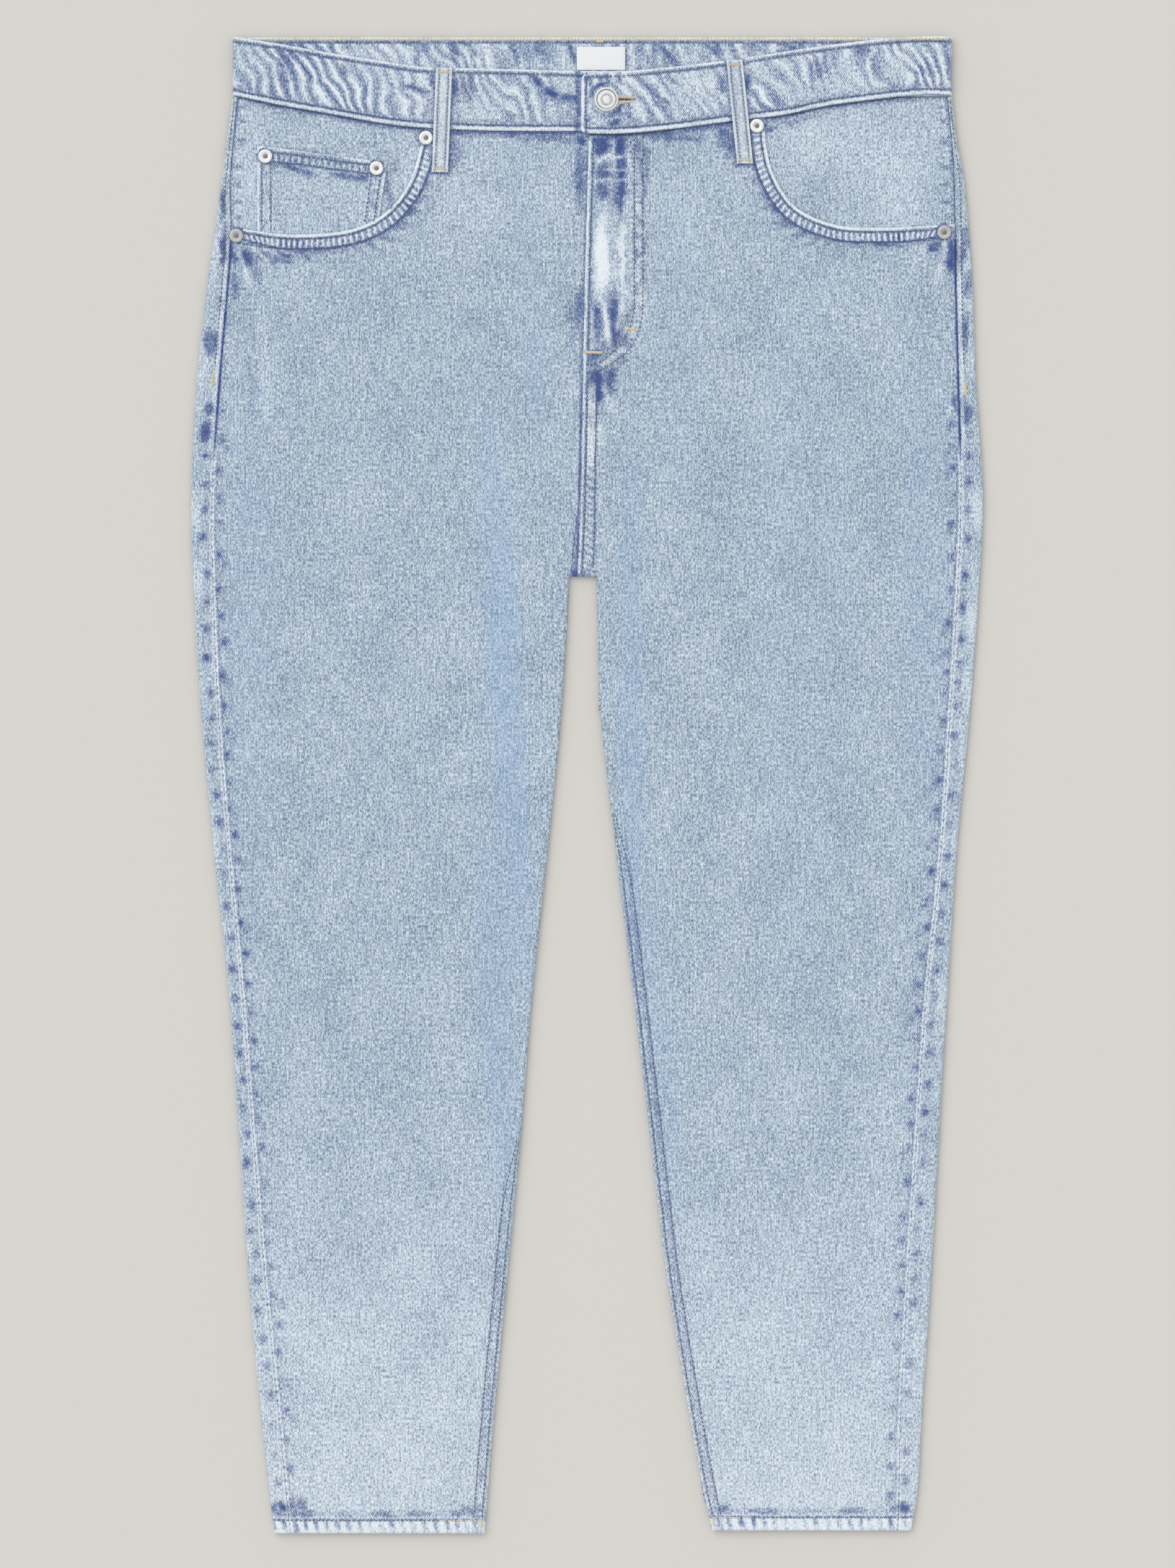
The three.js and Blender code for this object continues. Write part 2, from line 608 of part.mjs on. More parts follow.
function pocketFacing(side) {
  const points = [];
  const low = POCKET_EDGE[sideName(side)][0].y - FACING_UNDER;
  const waist = (x) => Math.min(waistSeam(side, x) - 2 * GAP, BAND_BACK_LOW - GAP);
  const high = waist(side * BAND_FOLD[sideName(side)]);
  const seam = (y) => outseamX(side, y) - side * GAP;
  for (let k = 0; k <= 10; k += 1) {
    const y = lerp(low, high, k / 10);
    points.push(new THREE.Vector2(seam(y), y));
  }
  const last = pastPocket(side, 1, FACING_UNDER).x;
  for (let k = 1; k <= 12; k += 1) {
    const x = lerp(seam(high), last, k / 12);
    points.push(new THREE.Vector2(x, waist(x)));
  }
  for (let share = 0.9; share > 0.1; share -= 0.1) {
    const place = pastPocket(side, share, FACING_UNDER);
    points.push(new THREE.Vector2(place.x, place.y));
  }
  return patch(points, LAID - CLOTH, CLOTH);
}

function coinPocket() {
  const side = -1;
  const points = [new THREE.Vector2(-232.45, 450.75), new THREE.Vector2(-140.95, 438.75)];
  points.push(new THREE.Vector2(-147.3, 402));
  for (let share = 0.62; share > 0.12; share -= 0.08) {
    const place = pastPocket(side, share, COIN_UNDER - 0.5);
    points.push(new THREE.Vector2(place.x, place.y));
  }
  points.push(new THREE.Vector2(-232.45, 385));
  return patch(points, LAID + GAP, CLOTH);
}

function backPocket(side) {
  const { centre, top, foot, point, width, taper } = BACK_POCKET;
  const half = width / 2;
  const corners = [
    [-half, top],
    [half, top],
    [half - taper, foot],
    [0, point],
    [taper - half, foot],
  ];
  return patch(corners.map(([x, y]) => new THREE.Vector2(side * centre + x, y)), 0, CLOTH);
}

// A belt loop on the front: over the waistband and down on to the front.
function frontLoop({ topX, topY, lowX, lowY }) {
  const seam = waistSeam(Math.sign(topX), (topX + lowX) / 2);
  const steps = [
    { y: topY, z: BAND_TOP + GAP },
    { y: seam, z: BAND_TOP + GAP },
    { y: seam - 10, z: LAID + LAYER + 0.4 },
    { y: lowY, z: LAID + LAYER + 0.4 },
  ];
  return wall(steps.map(({ y, z }) => {
    const x = lerp(topX, lowX, (topY - y) / (topY - lowY));
    return [-1, 1].map((edge) => ({
      p: new THREE.Vector3(x + (edge * LOOP.width) / 2, y, z + LOOP.thick),
      n: new THREE.Vector3(0, 0, 1),
      thick: LOOP.thick,
    }));
  }));
}

function backLoop({ x }) {
  const half = LOOP.width / 2;
  const corners = [[-half, BACK_LOOP_LOW], [half, BACK_LOOP_LOW], [half, BAND_BACK_TOP], [-half, BAND_BACK_TOP]];
  return patch(corners.map(([dx, y]) => new THREE.Vector2(x + dx, y)), 0, CLOTH);
}

// A turned metal piece standing on +Z, from a profile of radius and height.
function turned(profile, segments, { x, y, z }) {
  const geometry = new THREE.LatheGeometry(profile.map(([r, h]) => new THREE.Vector2(r, h)), segments);
  geometry.rotateX(Math.PI / 2);
  geometry.translate(x, y, z);
  return geometry;
}

function rivet(place) {
  const { radius, thick, nipple, rise } = RIVET;
  const profile = [
    [0, 0],
    [radius, 0],
    [radius, thick * 0.45],
    [radius * 0.82, thick],
    [nipple, thick * 0.6],
    [nipple, thick * 0.6 + rise],
    [0, thick * 0.6 + rise],
  ];
  return turned(profile, 20, place);
}

function waistButton() {
  const { x, y, radius, shank, thick } = BUTTON;
  const reach = OVER_TOP - UNDER_TOP;
  const profile = [
    [0, 0],
    [shank, 0],
    [shank, reach],
    [radius * 0.9, reach],
    [radius, reach + thick * 0.4],
    [radius, reach + thick * 0.75],
    [radius * 0.9, reach + thick],
    [radius * 0.76, reach + thick * 0.78],
    [0, reach + thick * 0.86],
  ];
  return turned(profile, 32, { x, y, z: UNDER_TOP + GAP });
}

function innerLabel() {
  const { left, right, top, low, thick } = LABEL;
  const corners = [[left, low], [right, low], [right, top], [left, top]];
  const height = LAYER + BAND_CLOTH + GAP;
  return patch(corners.map(([x, y]) => new THREE.Vector2(x, y)), height, thick);
}

for (const side of [-1, 1]) {
  const name = sideName(side);
  addMesh(`front_${name}`, frontPanel(side), 'denim');
  addMesh(`back_${name}`, backPanel(side), 'denim');
  addMesh(`yoke_${name}`, yoke(side), 'denim');
  addMesh(`pocket_facing_${name}`, pocketFacing(side), 'denim');
  addMesh(`back_pocket_${name}`, backPocket(side), 'denim');
}
addMesh('waistband', waistband(), 'denim');
addMesh('coin_pocket', coinPocket(), 'denim');
BELT_LOOPS.forEach((loop) => addMesh(loop.name, frontLoop(loop), 'pale_denim'));
BACK_LOOPS.forEach((loop) => addMesh(loop.name, backLoop(loop), 'pale_denim'));
RIVETS.forEach((place) => addMesh(place.name, rivet(place), 'button_metal'));
addMesh('waist_button', waistButton(), 'button_metal');
addMesh('inner_label', innerLabel(), 'label');

export default group;
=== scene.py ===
# Looks of a pair of high-waisted tapered jeans in washed denim, laid flat with the front up.
# Blender works in metres. The tables and shape functions here are in millimetres, and a piece is
# scaled when its mesh is made. side = -1 is the wearer's right half, side = +1 the left half.
import math

import bpy
import numpy as np
from bpy.props import FloatProperty, FloatVectorProperty, PointerProperty
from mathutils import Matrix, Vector
from mathutils.bvhtree import BVHTree


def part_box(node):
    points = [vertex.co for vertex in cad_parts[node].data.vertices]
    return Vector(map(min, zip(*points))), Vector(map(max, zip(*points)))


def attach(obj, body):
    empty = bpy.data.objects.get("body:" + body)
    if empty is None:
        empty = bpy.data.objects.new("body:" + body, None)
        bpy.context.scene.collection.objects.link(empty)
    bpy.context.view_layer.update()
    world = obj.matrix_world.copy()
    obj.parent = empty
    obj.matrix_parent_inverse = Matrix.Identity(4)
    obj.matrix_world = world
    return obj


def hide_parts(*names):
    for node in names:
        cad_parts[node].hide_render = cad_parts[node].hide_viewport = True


bl_info = {
    "name": "Laid Flat Jeans",
    "version": (1, 0, 0),
    "blender": (4, 5, 0),
    "location": "3D View > Sidebar > Jeans",
    "description": "Cloth, sewing and fasteners of a pair of jeans laid flat",
    "category": "Object",
}

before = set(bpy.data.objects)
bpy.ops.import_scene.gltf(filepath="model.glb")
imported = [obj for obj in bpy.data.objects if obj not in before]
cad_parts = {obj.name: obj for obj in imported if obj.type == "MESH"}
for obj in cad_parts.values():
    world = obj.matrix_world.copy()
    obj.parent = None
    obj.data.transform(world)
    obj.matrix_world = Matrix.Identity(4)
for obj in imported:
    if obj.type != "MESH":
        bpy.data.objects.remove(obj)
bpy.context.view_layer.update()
MM = 0.001

# Cloth and layers, as in the solids
GAP = 0.3
SEAM_GAP = 0.08  # the solids keep 0.3 mm apart, sewn cloth looks closed
LAID = 5.0  # outer face of the front above the surface
CLOTH = 1.2
LAYER = CLOTH + GAP
HEM_DEPTH = 10.0
HEM_CLOTH = 2.4
HEM_RISE = 0.8
BAND_CLOTH = 2.4
BAND_TOP = 7.0
BAND_BACK = {"low": 485.0, "top": 527.0}
BAND_SIDE = {"low": 485.75, "top": 527.4}
BAND_FOLD = {"right": 249.75, "left": 257.0}
UNDER_END = 30.75
UNDER_TOP = 6.6
OVER_TOP = UNDER_TOP + GAP + BAND_CLOTH
OVER_END = -4.25
LAP_FLAT = 38.0
LAP_RAMP = 80.0
BUTTON = {"x": 13.55, "y": 482.75, "radius": 8.5, "thick": 2.8}
# Radii of the button's grooves, which get the darker nipple metal as painted shade.
BUTTON_GROOVES = ((6.5, 7.02), (3.8, 4.16), (2.95, 3.32))
BUTTONHOLE_END = 34.5
RIVET = {"radius": 4.85, "thick": 1.2, "nipple": 1.6}
LOOP = {"width": 11.5, "thick": 1.4}
LABEL = {"left": -7.25, "right": 26.75, "top": 520.25, "low": 503.75, "height": 4.7, "thick": 1.0}
CROTCH_Y = 146.75
CROTCH_X = -6.75
CORNER_FAN = 0.85
FAN_REACH = 8.0
CENTRE_BACK_X = 8.75
YOKE = {"side": 447.75, "centre": 409.75}
BACK_RISE = (430.0, 446.0)
FLY = {"closed": 288.0, "joined": 272.0, "level": 240.0}
FLY_UNDERLAP = 12.0
FACING_UNDER = 11.0
COIN_UNDER = 5.5
# Coin pocket: left edge, right edge at the foot and at the top, top edge at the left and at the right
COIN = {"left": -232.45, "right": (-147.3, -140.95), "top": (450.75, 438.75), "width": 91.5}
BACK_POCKET = {"centre": 130.0, "top": 398.0, "foot": 262.0, "point": 240.0, "width": 152.0, "taper": 9.0}

# Rows of stitches, from the edge or seam that each pair follows
POCKET_STITCH = (3.1, 10.3)
COIN_STITCH = (3.6, 9.8)
LEG_STITCH = (2.4, 8.2)
HEM_STITCH = 9.2
BAND_STITCH = {"top": 3.3, "low": 4.2}
CENTRE_STITCH = 3.4
FLY_STITCH = 3.2
YOKE_STITCH = (2.5, 8.5)
BACK_POCKET_STITCH = (3, 9)
LOOP_STITCH = 3.3
J_LINES = (33.25, 39.25)

# Outline of each half: outer fold, how far the outseam lies inside it, and the inner leg.
OUTLINE = {
    "right": {
        "y": (-527.3, -446.3, -346.3, -246.3, -146.3, -46.3, 53.75, 146.75, 203.75, 283.75, 353.75,
              387.25, 423.75, 485.75),
        "fold": (220.75, 229.75, 238.75, 245.5, 252.75, 263.25, 272.5, 277.85, 279.25, 275.25, 267.75,
                 263, 258, 250),
        "inset": (11.5, 12.5, 11.5, 10, 9.5, 10.75, 12.25, 13.85, 14.75, 16, 14.5, 12, 6.25, 3.5),
        "inner": (72.25, 65.75, 56.25, 46.75, 38.5, 27.75, 18, 12.75, 12.75, 12.75, 12.75, 12.75,
                  12.75, 12.75),
    },
    "left": {
        "y": (-525.3, -496.3, -446.3, -346.3, -246.3, -146.3, -46.3, 53.75, 146.75, 203.75, 283.75,
              353.75, 423.75, 453.75, 485.75),
        "fold": (228.5, 233.25, 236, 242.75, 248.25, 254.25, 260.75, 270.25, 277, 279.25, 274.25,
                 271.75, 266.25, 260.75, 257.25),
        "inset": (9.5, 13.25, 15, 16.5, 15.75, 14.75, 11, 14, 15.25, 15.5, 12.5, 11.75, 7.25, 3.5, 3.5),
        "inner": (88.25, 81.75, 72.5, 56.25, 44.25, 32.5, 20.25, 9.25, 6.75, 6.75, 6.75, 6.75, 6.75,
                  6.75, 6.75),
    },
}

# Pocket opening, from the outseam round to the waist seam.
POCKET_EDGE = {
    "right": {"x": (250.75, 208, 163.25, 140, 124.75, 117.5, 114.25),
              "y": (392.75, 387.8, 392.2, 405, 426.2, 450, 462.75)},
    "left": {"x": (259.5, 209.75, 174.75, 146.75, 131.5, 126, 125.25),
             "y": (395.25, 392.75, 394.75, 407.5, 430, 452, 470.45)},
}

# Front of the waistband: top and lower edge.
BAND_EDGE = {
    "right": {"x": (249.5, 218.25, 181.75, 145.25, 114.25, 64.25, 2.25, -30.75),
              "top": (527.25, 522.5, 516, 510.25, 506, 504.75, 503.25, 503.25),
              "low": (485.75, 479.25, 472.75, 466.25, 462.75, 460.75, 460.5, 460.8)},
    "left": {"x": (-4.25, 19.75, 53.25, 102.75, 140.25, 169.75, 209.75, 236.25, 256.75),
             "top": (502.25, 502.25, 505.25, 511.25, 517, 521.25, 526, 527.4, 527.5),
             "low": (458.75, 458.5, 461.25, 467.75, 472.25, 478.5, 483.75, 486.25, 485.75)},
}

# Fly edge and centre front seam, from the crotch to the waistband.
FLY_LINE = {"y": (146.75, 183.75, 263.75, 343.75, 458.75), "x": (-6.75, -5.25, -3.25, -1.95, 1.25)}

# Rows of a front above the crotch: height on the outseam, lean into the panel, height on the centre
# and how much the row bends away from the crotch.
FRONT_ROWS = {
    "outer": (148.5, 151, 175, 205, 240, 275, 305, 330, 352, 366, 380.25),
    "lean": (0, 0, 0, 0, 0, 0.15, 0.3, 0.6, 0.85, 1, 1.2),
    "centre": (147.5, 149.25, 168, 192, 216, 240, 256, 272, 288, 300, 312),
    "fan": (0.95, 0.85, 0, 0, 0, 0, 0, 0, 0, 0, 0),
}
# Rows along the pocket edge: share of its length, height on the centre, and how the first ones lean.
POCKET_ROWS = {
    "share": (0, 0.09, 0.18, 0.3, 0.42, 0.54, 0.66, 0.78, 0.89, 1),
    "centre": (324, 336, 348, 360, 374, 390, 406, 424, 442, 460),
    "across": (1, 0.55, 0.1, 0, 0, 0, 0, 0, 0, 0),
    "lean": (1.35, 1.2, 1.05, 0, 0, 0, 0, 0, 0, 0),
}

RIVET_PLACES = (
    (-113.6, 456), (-247.25, 387.05), (-226.75, 443), (-148.45, 434.55), (119.6, 464.4), (251.6, 389.4),
)
BELT_LOOPS = (
    ("belt_loop_front_right", -100.75, 505.25, -103.75, 431.75),
    ("belt_loop_front_left", 103.75, 510.75, 111.25, 437.75),
)
BACK_LOOPS = (
    ("belt_loop_back_right", -150.0),
    ("belt_loop_back_centre", CENTRE_BACK_X),
    ("belt_loop_back_left", 158.0),
)
BACK_LOOP_LOW = 454.0

# Unworn, deep blue places on the front, and at (-4, 455) a painted shadow under the lapped corner of the
# waistband: x, y, half width, half height, turn in degrees, strength.
BLUE_PATCHES = (
    (10, 450, 6.5, 9, 0, 0.95), (10, 432, 6, 8, 0, 0.8), (11, 418, 6, 7, 0, 0.75),
    (24, 440, 5.5, 26, 2, 1.0), (23, 414, 4.5, 17, 2, 0.85), (36, 448, 6, 12, 0, 0.6),
    (36, 424, 4, 14, 0, 0.35), (42, 434, 3, 20, 0, 0.45), (35, 395, 4, 14, 0, 0.2),
    (60, 456, 26, 3.5, 0, 0.6), (-30, 456, 26, 3.5, 0, 0.5), (42, 385, 2.5, 10, 0, 0.3),
    (19, 327, 6, 19, 4, 1.05), (6, 327, 5.5, 15, 0, 0.85), (30, 336, 4, 14, -12, 0.5),
    (27, 312, 6, 6, -30, 0.55), (6, 284, 8, 17, 0, 1.05), (17, 286, 4.5, 11, -20, 0.85),
    (24, 300, 6, 4, -40, 0.5), (3, 258, 4, 9, 0, 0.4), (17, 311, 6, 10, -15, 1.0), (7, 303, 8, 6, 0, 0.75),
    (-5, 432, 4, 30, 0, 0.62), (-5, 336, 4, 18, 0, 0.6), (-10, 334, 5, 12, 0, 0.3),
    (-250, 375, 3, 8, 0, 1.0), (-241, 372, 8, 6, -20, 0.8), (-213, 372, 13, 4, 5, 0.7),
    (-228, 374, 7, 4, 0, 0.6), (-249, 352, 2.5, 14, 4, 0.6),
    (-256, 379, 3.5, 14, 0, 0.95), (-264.5, 312, 6, 9.5, 0, 0.95), (-265, 264, 6, 7, 0, 1.0),
    (-269, 249, 6.5, 7, 0, 0.85), (-258, 340, 2.5, 10, 0, 0.5), (-257, 408, 3, 14, 0, 0.75),
    (258, 374, 5, 16, 0, 1.0), (268, 352, 5, 12, 0, 0.85), (267, 386, 4, 10, 0, 0.7),
    (262, 268, 5, 8, 0, 0.9), (268, 260, 5, 9, 0, 0.8), (266, 318, 4, 13, 0, 0.8),
    (246, 379, 8, 5, 10, 0.85), (251, 372, 6, 8, -15, 0.8), (263, 372, 4, 12, 0, 0.8),
    (-140.5, 420, 3, 18, 0, 0.7), (-136, 436, 4, 8, 0, 0.5), (-4, 455, 5, 3.5, -30, 0.95),
    (-110, 446, 5, 9, 0, 0.6), (117, 446, 4, 10, 0, 0.7), (98, 456, 7, 14, 20, 0.7),
    (-96, 444, 9, 12, 0, 0.4),
    (126, 462, 8, 3, 0, 0.6), (150, 468, 16, 3, 12, 0.5),
    (-212, -508, 10, 4.5, 0, 1.0), (-201, -507, 4, 6, 20, 0.8), (-221, -510, 4, 3, 0, 0.8),
    (221, -509, 9, 5, 0, 0.9), (-82, -512, 8, 4, 0, 0.8), (96, -511, 7, 4, 0, 0.8),
)
# Worn, pale places on the front, with the same columns.
PALE_PATCHES = (
    (10, 374, 6.5, 34, 0, 1.0), (25, 372, 3, 34, 0, 0.8), (19, 372, 4, 32, 0, 0.3),
    (18, 432, 1.6, 24, 0, 0.7),
    (9, 441, 6, 2, 0, 0.6), (9, 425, 6, 2, 0, 0.5), (33, 400, 6, 46, 0, 0.3), (8, 247, 5, 10, 0, 0.5),
    (-70, 420, 50, 40, 0, 0.2), (-229, 300, 4, 55, 0, 0.3), (180, 430, 60, 30, 0, 0.15),
    (60, 400, 30, 50, 0, 0.2), (-200, 466, 40, 10, 10, 0.3), (240, 440, 10, 30, 0, 0.35),
)
# Bluish length-wise shading down the legs, with the same columns.
TINT_PATCHES = (
    (-57, 60, 16, 250, 3, 0.95), (-64, -170, 14, 190, 4, 0.7), (31, 20, 11, 260, 0, 0.75),
    (-40, 330, 14, 130, 5, 0.4), (62, 330, 20, 120, 0, 0.3), (52, -180, 12, 160, 4, 0.5),
    (-236, 120, 22, 200, 0, 0.4), (236, 140, 20, 200, 0, 0.4), (150, 120, 40, 260, 0, 0.2),
)
# Main creases: from x, y to x, y, half width, height (below zero a trough), pale, blue.
CREASES = (
    (-248, 383, -235, 345, 2.0, 0.55, 0.6, 0), (-238, 381, -222, 366, 1.5, 0.35, 0.5, 0),
    (-232, 380, -212, 370, 1.4, 0.3, 0.45, 0), (-222, 379, -196, 371, 1.4, 0.3, 0.4, 0),
    (-226, 376, -206, 366, 1.6, -0.3, 0, 0.7), (-212, 376, -192, 370, 1.4, -0.3, 0, 0.6),
    (-243, 383, -229, 350, 2.5, -0.3, 0, 0.35),
    (-229, 354, -226, 250, 5, 0.35, 0.3, 0), (-236, 300, -233, 240, 4, -0.25, 0, 0.15),
    (9.75, 345, 16.75, 303, 2.6, 0.55, 0.9, 0), (25.75, 345, 20.5, 318, 2.4, 0.5, 0.7, 0),
    (2.5, 340, 5.5, 308, 1.6, 0.4, 0.55, 0), (33, 352, 27, 330, 2, 0.35, 0.5, 0),
    (19, 438, 20, 404, 3.2, -0.45, 0, 0.55), (29, 455, 30, 412, 2.2, 0.35, 0.45, 0),
    (6, 443, 40, 442, 1.4, 0.25, 0.55, 0), (6, 434, 38, 433, 1.3, 0.25, 0.5, 0),
    (6, 426, 36, 427, 1.4, 0.25, 0.5, 0), (12, 416, 14, 396, 1.8, 0.3, 0.4, 0),
    (-7, 300, -22, 250, 7, 0.3, 0.12, 0), (9, 285, 22, 258, 2.2, 0.35, 0.5, 0),
    (35.5, 326, 28, 310, 1.5, 0.3, 0.5, 0), (28, 310, 17.5, 300.5, 1.5, 0.3, 0.5, 0),
    (17.5, 300.5, 7, 293.5, 1.4, 0.3, 0.45, 0), (7, 293.5, -1, 292.8, 1.4, 0.3, 0.45, 0),
    (0, 262, 3, 236, 2, 0.3, 0.35, 0), (-8, 345, -10, 310, 3, -0.25, 0, 0.2),
    (254, 392, 246, 350, 3, 0.45, 0.6, 0), (240, 388, 228, 362, 4, 0.3, 0.3, 0),
    (-110, 452, -122, 420, 3, 0.3, 0.3, 0), (116, 458, 128, 425, 3, 0.3, 0.3, 0),
    (-90, 120, -120, 20, 14, 0.3, 0.05, 0), (60, 100, 110, 0, 15, 0.3, 0.05, 0),
    (-20, 150, -75, 60, 9, 0.35, 0.05, 0), (18, 150, 62, 70, 9, 0.3, 0.05, 0),
    (-230, -60, -195, -140, 9, 0.25, 0.05, 0), (225, -100, 190, -190, 9, 0.25, 0.05, 0),
)
# Creases on the coin pocket and the facings, with the same columns.
POCKET_CREASES = (
    (-223, 440, -189, 428.5, 2.2, -0.35, 0, 0.8), (-184, 431.5, -154, 426, 2.2, -0.35, 0, 0.75),
    (-221, 437, -219, 436, 2.6, -0.2, 0, 0.7), (-161, 428, -155, 427.5, 3.2, -0.3, 0, 0.8),
    (-206, 425, -178, 414, 3, 0.25, 0.3, 0), (-172, 421, -160, 405, 2.5, 0.25, 0.25, 0),
    (-215, 447, -160, 440, 1.6, -0.1, 0, 0.4),
)
# Creases of the waistband, with the same columns.
BAND_CREASES = (
    (-40.25, 501, -31.75, 491.25, 2.9, -0.55, 0, 1), (-31.75, 491.25, -19.25, 484, 3.8, -0.5, 0, 1),
    (-19.25, 484, -6, 482.75, 3.6, -0.45, 0, 0.9), (-36, 503, -26, 493, 2, 0.35, 0.6, 0),
    (-131.75, 493.75, -108.25, 486.25, 2.2, -0.4, 0, 0.8), (-109.25, 503, -109, 491, 1.8, -0.3, 0, 0.9),
    (-93.75, 500, -93.5, 482, 2.4, -0.3, 0, 0.9), (94.5, 500, 95.5, 487, 3, -0.3, 0, 0.85),
    (112.75, 503, 112.5, 488, 2.8, -0.3, 0, 0.9), (23, 469, 15, 464, 3, -0.35, 0, 0.9),
    (4, 472, -1, 464, 2, -0.3, 0, 0.5), (3, 494, -1, 499, 1.8, -0.3, 0, 0.6),
    (13.5, 502, 15, 494, 1.5, -0.3, 0, 0.8), (18, 502, 19.5, 493, 1.7, 0.35, 0.8, 0),
    (21.5, 502, 24, 493, 1.6, -0.3, 0, 0.8), (26, 502, 33, 491, 2, 0.35, 0.8, 0),
    (31, 501, 49, 486, 1.8, -0.3, 0, 0.65), (26, 474, 34, 466, 1.8, -0.3, 0, 0.5),
    (42, 490, 60, 478, 1.8, -0.35, 0, 0.6), (55, 500, 66, 492, 1.6, -0.3, 0, 0.5),
)
# Creases inside the back of the waistband, where it shows above the front.
LENS_CREASES = (
    (48.25, 523, 65.75, 506, 2.6, -0.4, 0, 0.8), (-55.25, 525, -48, 508, 2.4, -0.4, 0, 0.75),
    (-14.25, 525, -6.5, 506, 2.4, -0.4, 0, 0.8), (-85, 525, -77, 512, 2, -0.35, 0, 0.6),
    (80, 525, 96, 512, 2.2, -0.35, 0, 0.7), (112, 526, 126, 516, 2, -0.3, 0, 0.6),
    (-120, 526, -112, 517, 2, -0.3, 0, 0.6), (36, 524, 44, 508, 1.8, -0.3, 0, 0.5),
    (-32, 525, -26, 508, 2, -0.3, 0, 0.55), (148, 526, 160, 520, 1.8, -0.3, 0, 0.5),
)


# Sizes and colours that a user would change

def linear(code):
    """Linear colour of an sRGB hex value."""
    parts = [int(code[k:k + 2], 16) / 255 for k in (1, 3, 5)]
    return [c / 12.92 if c <= 0.04045 else ((c + 0.055) / 1.055) ** 2.4 for c in parts]


def colour(title, text, code):
    return FloatVectorProperty(name=title, description=text, default=linear(code), size=3,
                               subtype="COLOR", min=0, max=1)


def length(title, text, value):
    return FloatProperty(name=title, description=text, default=value * MM, unit="LENGTH", precision=5)


class JeansSizes(bpy.types.PropertyGroup):
    pucker: length("Pucker", "Height of the small folds along the seams", 0.38)
    swell: length("Swell", "Height of the broad unevenness of a laid panel", 0.5)
    stitch: length("Stitch", "Length of one stitch with its needle hole", 3.1)
    thread: length("Thread", "Width of the sewing thread", 0.75)
    twill: length("Twill", "Distance between two twill lines", 1.16)


class JeansColours(bpy.types.PropertyGroup):
    weft: colour("Weft", "Undyed weft and worn warp", "#e2ecf3")
    denim: colour("Denim", "Washed denim", "#a9bbcd")
    grain: colour("Grain", "Darker flecks of the washed warp", "#6f8299")
    tint: colour("Tint", "Bluish shading along the legs", "#8fb6de")
    # The indigo also paints shade and shadow marked as blue: under the waistband and its lapped end, along
    # and beside the belt loops, round the rivets, in the outseam's groove and in the buttonhole slit.
    blue: colour("Indigo", "Unworn indigo in folds and beside seams", "#41558e")
    worn: colour("Worn", "Abraded ridges and edges", "#edf3f7")
    blue_thread: colour("Tonal thread", "Thread dyed near the cloth's colour", "#66727f")
    tan_thread: colour("Tan thread", "Bar tacks and buttonhole", "#f3e0b2")
    # A darker copy of the nickel paints shade on the two side rivets.
    nickel: colour("Nickel", "Rivet caps", "#f4f4f2")
    # The nipple metal also paints shade in the button's grooves.
    nipple: colour("Nipple", "Rivet nipples and button shank", "#86878a")
    button: colour("Button", "Matt button face", "#ecedee")
    bleached: colour("Bleached", "Paler cloth of the belt loops", "#d3dce0")
    label: colour("Label", "Woven label tape", "#f2f4f6")
    floor: colour("Floor", "Paper the garment lies on", "#d8d5cf")


# Shape functions, in millimetres

def smooth(value, zero_at, one_at):
    t = np.clip((value - zero_at) / (one_at - zero_at), 0, 1)
    return t * t * (3 - 2 * t)


def ramp(value, zero_at, one_at):
    return np.clip((value - zero_at) / (one_at - zero_at), 0, 1)


def lerp(a, b, t):
    return a + (b - a) * t


def bell(value, middle, width):
    """1 at the middle, fading to both sides."""
    return np.exp(-((value - middle) / width) ** 2)


def rim_drop(reach, radius):
    """Share of a rounded rim's drop: 1 at the edge, 0 from the radius on."""
    return 1 - np.sqrt(1 - (1 - np.clip(reach / radius, 0, 1)) ** 2)


def noise(x, y, size, seed, stretch=1.0):
    """Smooth random field from -1 to 1 with patches of the given size, stretched along y."""
    lattice = np.random.default_rng(seed).uniform(-1, 1, (128, 128))
    u = np.asarray(x) / size + 640.5
    v = np.asarray(y) / (size * stretch) + 640.5
    i = np.floor(u).astype(int)
    j = np.floor(v).astype(int)
    fu = u - i
    fv = v - j
    fu = fu * fu * (3 - 2 * fu)
    fv = fv * fv * (3 - 2 * fv)
    low = lerp(lattice[i % 128, j % 128], lattice[(i + 1) % 128, j % 128], fu)
    high = lerp(lattice[i % 128, (j + 1) % 128], lattice[(i + 1) % 128, (j + 1) % 128], fu)
    return lerp(low, high, fv)


def wobble(run, size, seed):
    """Smooth random values from -1 to 1 along a line."""
    return noise(run, run * 0, size, seed)


def run_along(places):
    """Length of a route up to each of its places."""
    return np.concatenate([[0], np.cumsum(np.linalg.norm(np.diff(places, axis=0), axis=1))])


def together(*parts):
    """Places or directions from their coordinates, each an array or one number."""
    return np.stack(np.broadcast_arrays(*parts), -1)


def side_name(side):
    return "right" if side < 0 else "left"


